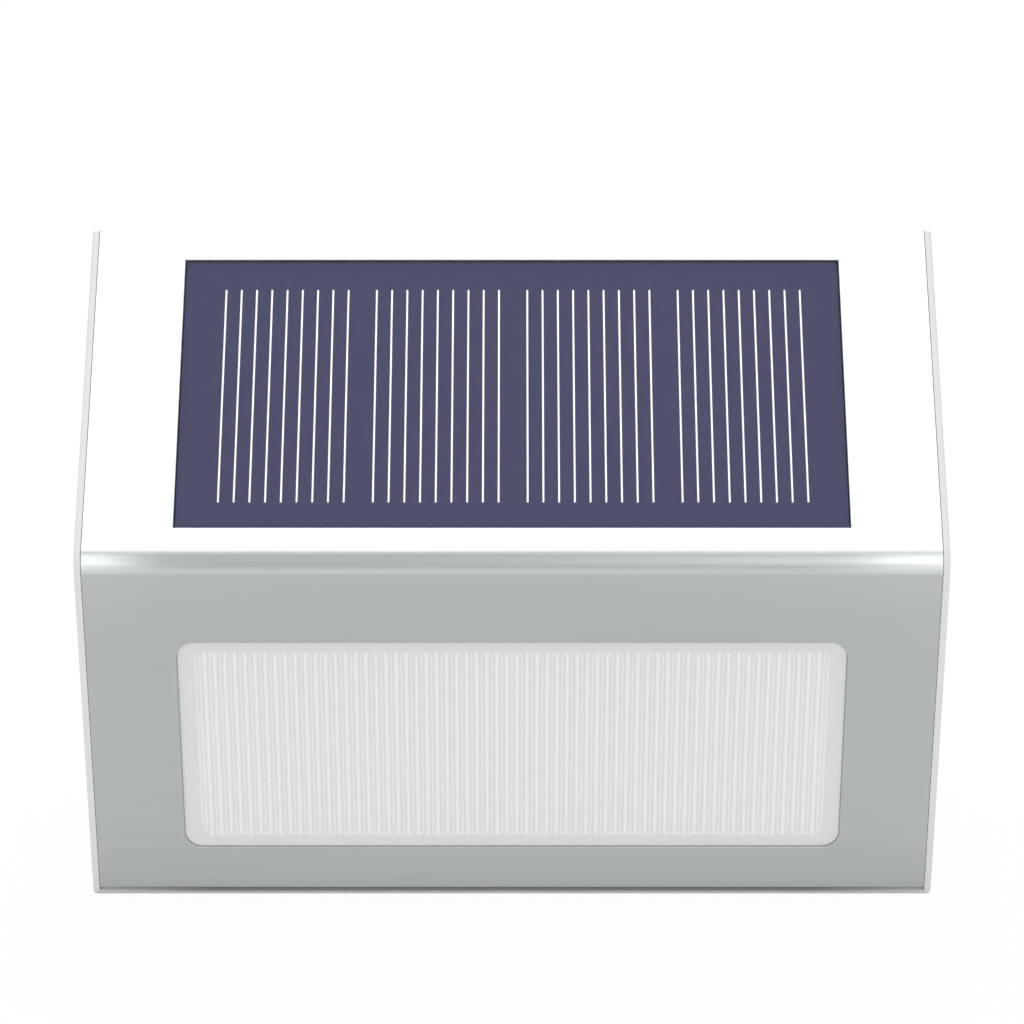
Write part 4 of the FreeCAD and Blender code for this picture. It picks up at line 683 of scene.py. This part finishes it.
# ================================================================ studio
def seen_by_camera(tree, share):
    """The share for camera rays, none for the rest."""
    path = add(tree, "ShaderNodeLightPath")
    return calculated(tree, "MULTIPLY", path.outputs["Is Camera Ray"], share)


def seen_in_gloss(tree, share):
    """The share for glossy and transmitted rays, none for the rest."""
    path = add(tree, "ShaderNodeLightPath")
    rays = (path.outputs["Is Glossy Ray"], path.outputs["Is Transmission Ray"])
    return calculated(tree, "MULTIPLY", calculated(tree, "MAXIMUM", *rays), share)


def painted_floor_for_metal(tree):
    """Painted light and shade of the floor to metal and resin: the object's shadow painted near it,
    a painted pool of light further out, and a wedge of painted glow on each side.
    """
    place = axes(tree)
    in_front = calculated(tree, "MULTIPLY", place["Y"], -1.0)
    aside = calculated(tree, "ABSOLUTE", calculated(tree, "SUBTRACT", place["X"], GLOW_MIDDLE))
    widening = calculated(
        tree, "MULTIPLY_ADD", in_front, GLOW_SPREAD, 1 - GLOW_START * GLOW_SPREAD
    )
    at_start = calculated(tree, "DIVIDE", aside, widening)
    share = signed_ramp(tree, at_start, GLOW_ASIDE)
    glow = calculated(tree, "MULTIPLY", share, signed_ramp(tree, in_front, GLOW_IN_METAL))
    return blended(tree, 1.0, signed_ramp(tree, in_front, PAINTED_FLOOR_LIGHT_AND_SHADE), glow, "ADD")


def studio_floor():
    """Pale floor that keeps the object's shadow."""
    material, tree, shader = new_material("pale_floor")
    feed(
        tree, shader,
        base_color=shade(WHITE, FLOOR_ALBEDO),
        roughness=0.9,
        specular_ior_level=0.0,
    )
    # painted light and shade of the floor, which metal and resin see in place of most of its own
    # shading
    painted_floor_light = add(tree, "ShaderNodeEmission", strength=1.0, color=painted_floor_for_metal(tree))
    white = add(tree, "ShaderNodeEmission", strength=1.0)
    in_gloss = mixed(tree, seen_in_gloss(tree, WASH_FOR_GLOSS), shader, painted_floor_light)
    in_camera = mixed(tree, seen_by_camera(tree, WASH_FOR_CAMERA), in_gloss, white)
    feed(tree, tree.nodes["Material Output"], surface=in_camera.outputs[0])
    base = cad_low_high[0][2]
    half = FLOOR_SIZE / 2
    corners = [(-half, -half, base), (half, -half, base), (half, half, base), (-half, half, base)]
    mesh = bpy.data.meshes.new("floor")
    mesh.from_pydata(corners, [], [(0, 1, 2, 3)])
    mesh.materials.append(material)
    link("floor", mesh)


def studio_world():
    """Pale room, white to the camera, with a panel and a dip in front."""
    world = bpy.data.worlds.new("pale_room")
    world.use_nodes = True
    bpy.context.scene.world = world
    tree = world.node_tree
    direction = axes(tree, "Generated")
    upward = direction["Z"]
    in_front = calculated(tree, "LESS_THAN", direction["Y"], 0.0)
    panel_aside = signed_ramp(tree, direction["X"], PANEL_ASIDE)
    share = calculated(tree, "MULTIPLY", panel_aside, signed_ramp(tree, upward, PANEL_UPWARD))
    panel = calculated(tree, "MULTIPLY", share, PANEL_LEVEL)
    dip = calculated(
        tree, "MULTIPLY", signed_ramp(tree, upward, ROOM_DIP), seen_in_gloss(tree, 1.0)
    )
    change = calculated(tree, "MULTIPLY", calculated(tree, "SUBTRACT", panel, dip), in_front)
    level = calculated(tree, "ADD", change, WORLD_LEVEL)
    room = tree.nodes["Background"]
    feed(tree, room, color=WHITE, strength=level)
    white = add(tree, "ShaderNodeBackground", color=WHITE, strength=1.0)
    seen = mixed(tree, seen_by_camera(tree, 1.0), room, white)
    feed(tree, tree.nodes["World Output"], surface=seen.outputs[0])


def softbox(name, place, aim, size, level, roll=0.0):
    """Rectangular lamp of a given radiance, facing the aim."""
    lamp = bpy.data.lights.new(name, "AREA")
    lamp.shape = "RECTANGLE"
    lamp.size = size[0]
    lamp.size_y = size[1]
    lamp.energy = level * math.pi * size[0] * size[1]
    holder = link(name, lamp)
    holder.location = place
    holder.rotation_euler = (Vector(aim) - Vector(place)).to_track_quat("-Z", "Y").to_euler()
    holder.rotation_euler.rotate_axis("Z", roll)


def studio_lamps():
    """A narrow box overhead, a wide one high behind, and a slim strip on each side in front."""
    front_end = BOX_DISTANCE * math.tan(TOP_BOX_FRONT_ANGLE)
    rear_end = BOX_DISTANCE * math.tan(TOP_BOX_REAR_ANGLE)
    above = FOLD + Vector((0, (rear_end - front_end) / 2, BOX_DISTANCE))
    top_size = (TOP_BOX_WIDTH, front_end + rear_end)
    softbox("top_softbox", above, above - Vector((0, 0, 1)), top_size, TOP_BOX_LEVEL)
    rear_length = 2 * BOX_DISTANCE * math.tan(REAR_BOX_HALF_ANGLE)
    behind = Vector((0, math.cos(REAR_BOX_TILT), math.sin(REAR_BOX_TILT))) * BOX_DISTANCE
    softbox("rear_softbox", FOLD + behind, FOLD, (REAR_BOX_WIDTH, rear_length), REAR_BOX_LEVEL)
    high = STRIP_BACK * math.tan(STRIP_HIGH_ANGLE)
    for name, (inner, level, low_angle) in STRIPS.items():
        low = STRIP_BACK * math.tan(low_angle)
        leaning = (high - low) / 2 * math.tan(STRIP_LEAN)
        aside = inner + math.copysign(STRIP_WIDTH / 2 + leaning, inner)
        place = FOLD + Vector((aside, -STRIP_BACK, (low + high) / 2))
        aim = place + Vector((0, STRIP_BACK, 0))
        size = (STRIP_WIDTH, (high - low) / math.cos(STRIP_LEAN))
        softbox(name, place, aim, size, level, roll=-math.copysign(STRIP_LEAN, inner))


def studio_camera():
    lens = bpy.data.cameras.new("camera")
    lens.lens = CAMERA_LENS
    lens.sensor_width = CAMERA_SENSOR
    lens.clip_start = 0.01
    camera = link("camera", lens)
    camera.location = FOLD + Vector((0, -CAMERA_BACK, CAMERA_UP))
    camera.rotation_euler = (math.radians(90) - CAMERA_PITCH, 0, 0)
    bpy.context.scene.camera = camera
    bpy.context.scene.view_settings.view_transform = "Standard"


finish = finishes()
dress_nodes(finish)
resin_face(finish)
sealant_bead(finish)
for name, (word, place_x) in WORDS.items():
    switch_word(name, word, place_x, finish)
studio_floor()
studio_world()
studio_lamps()
studio_camera()
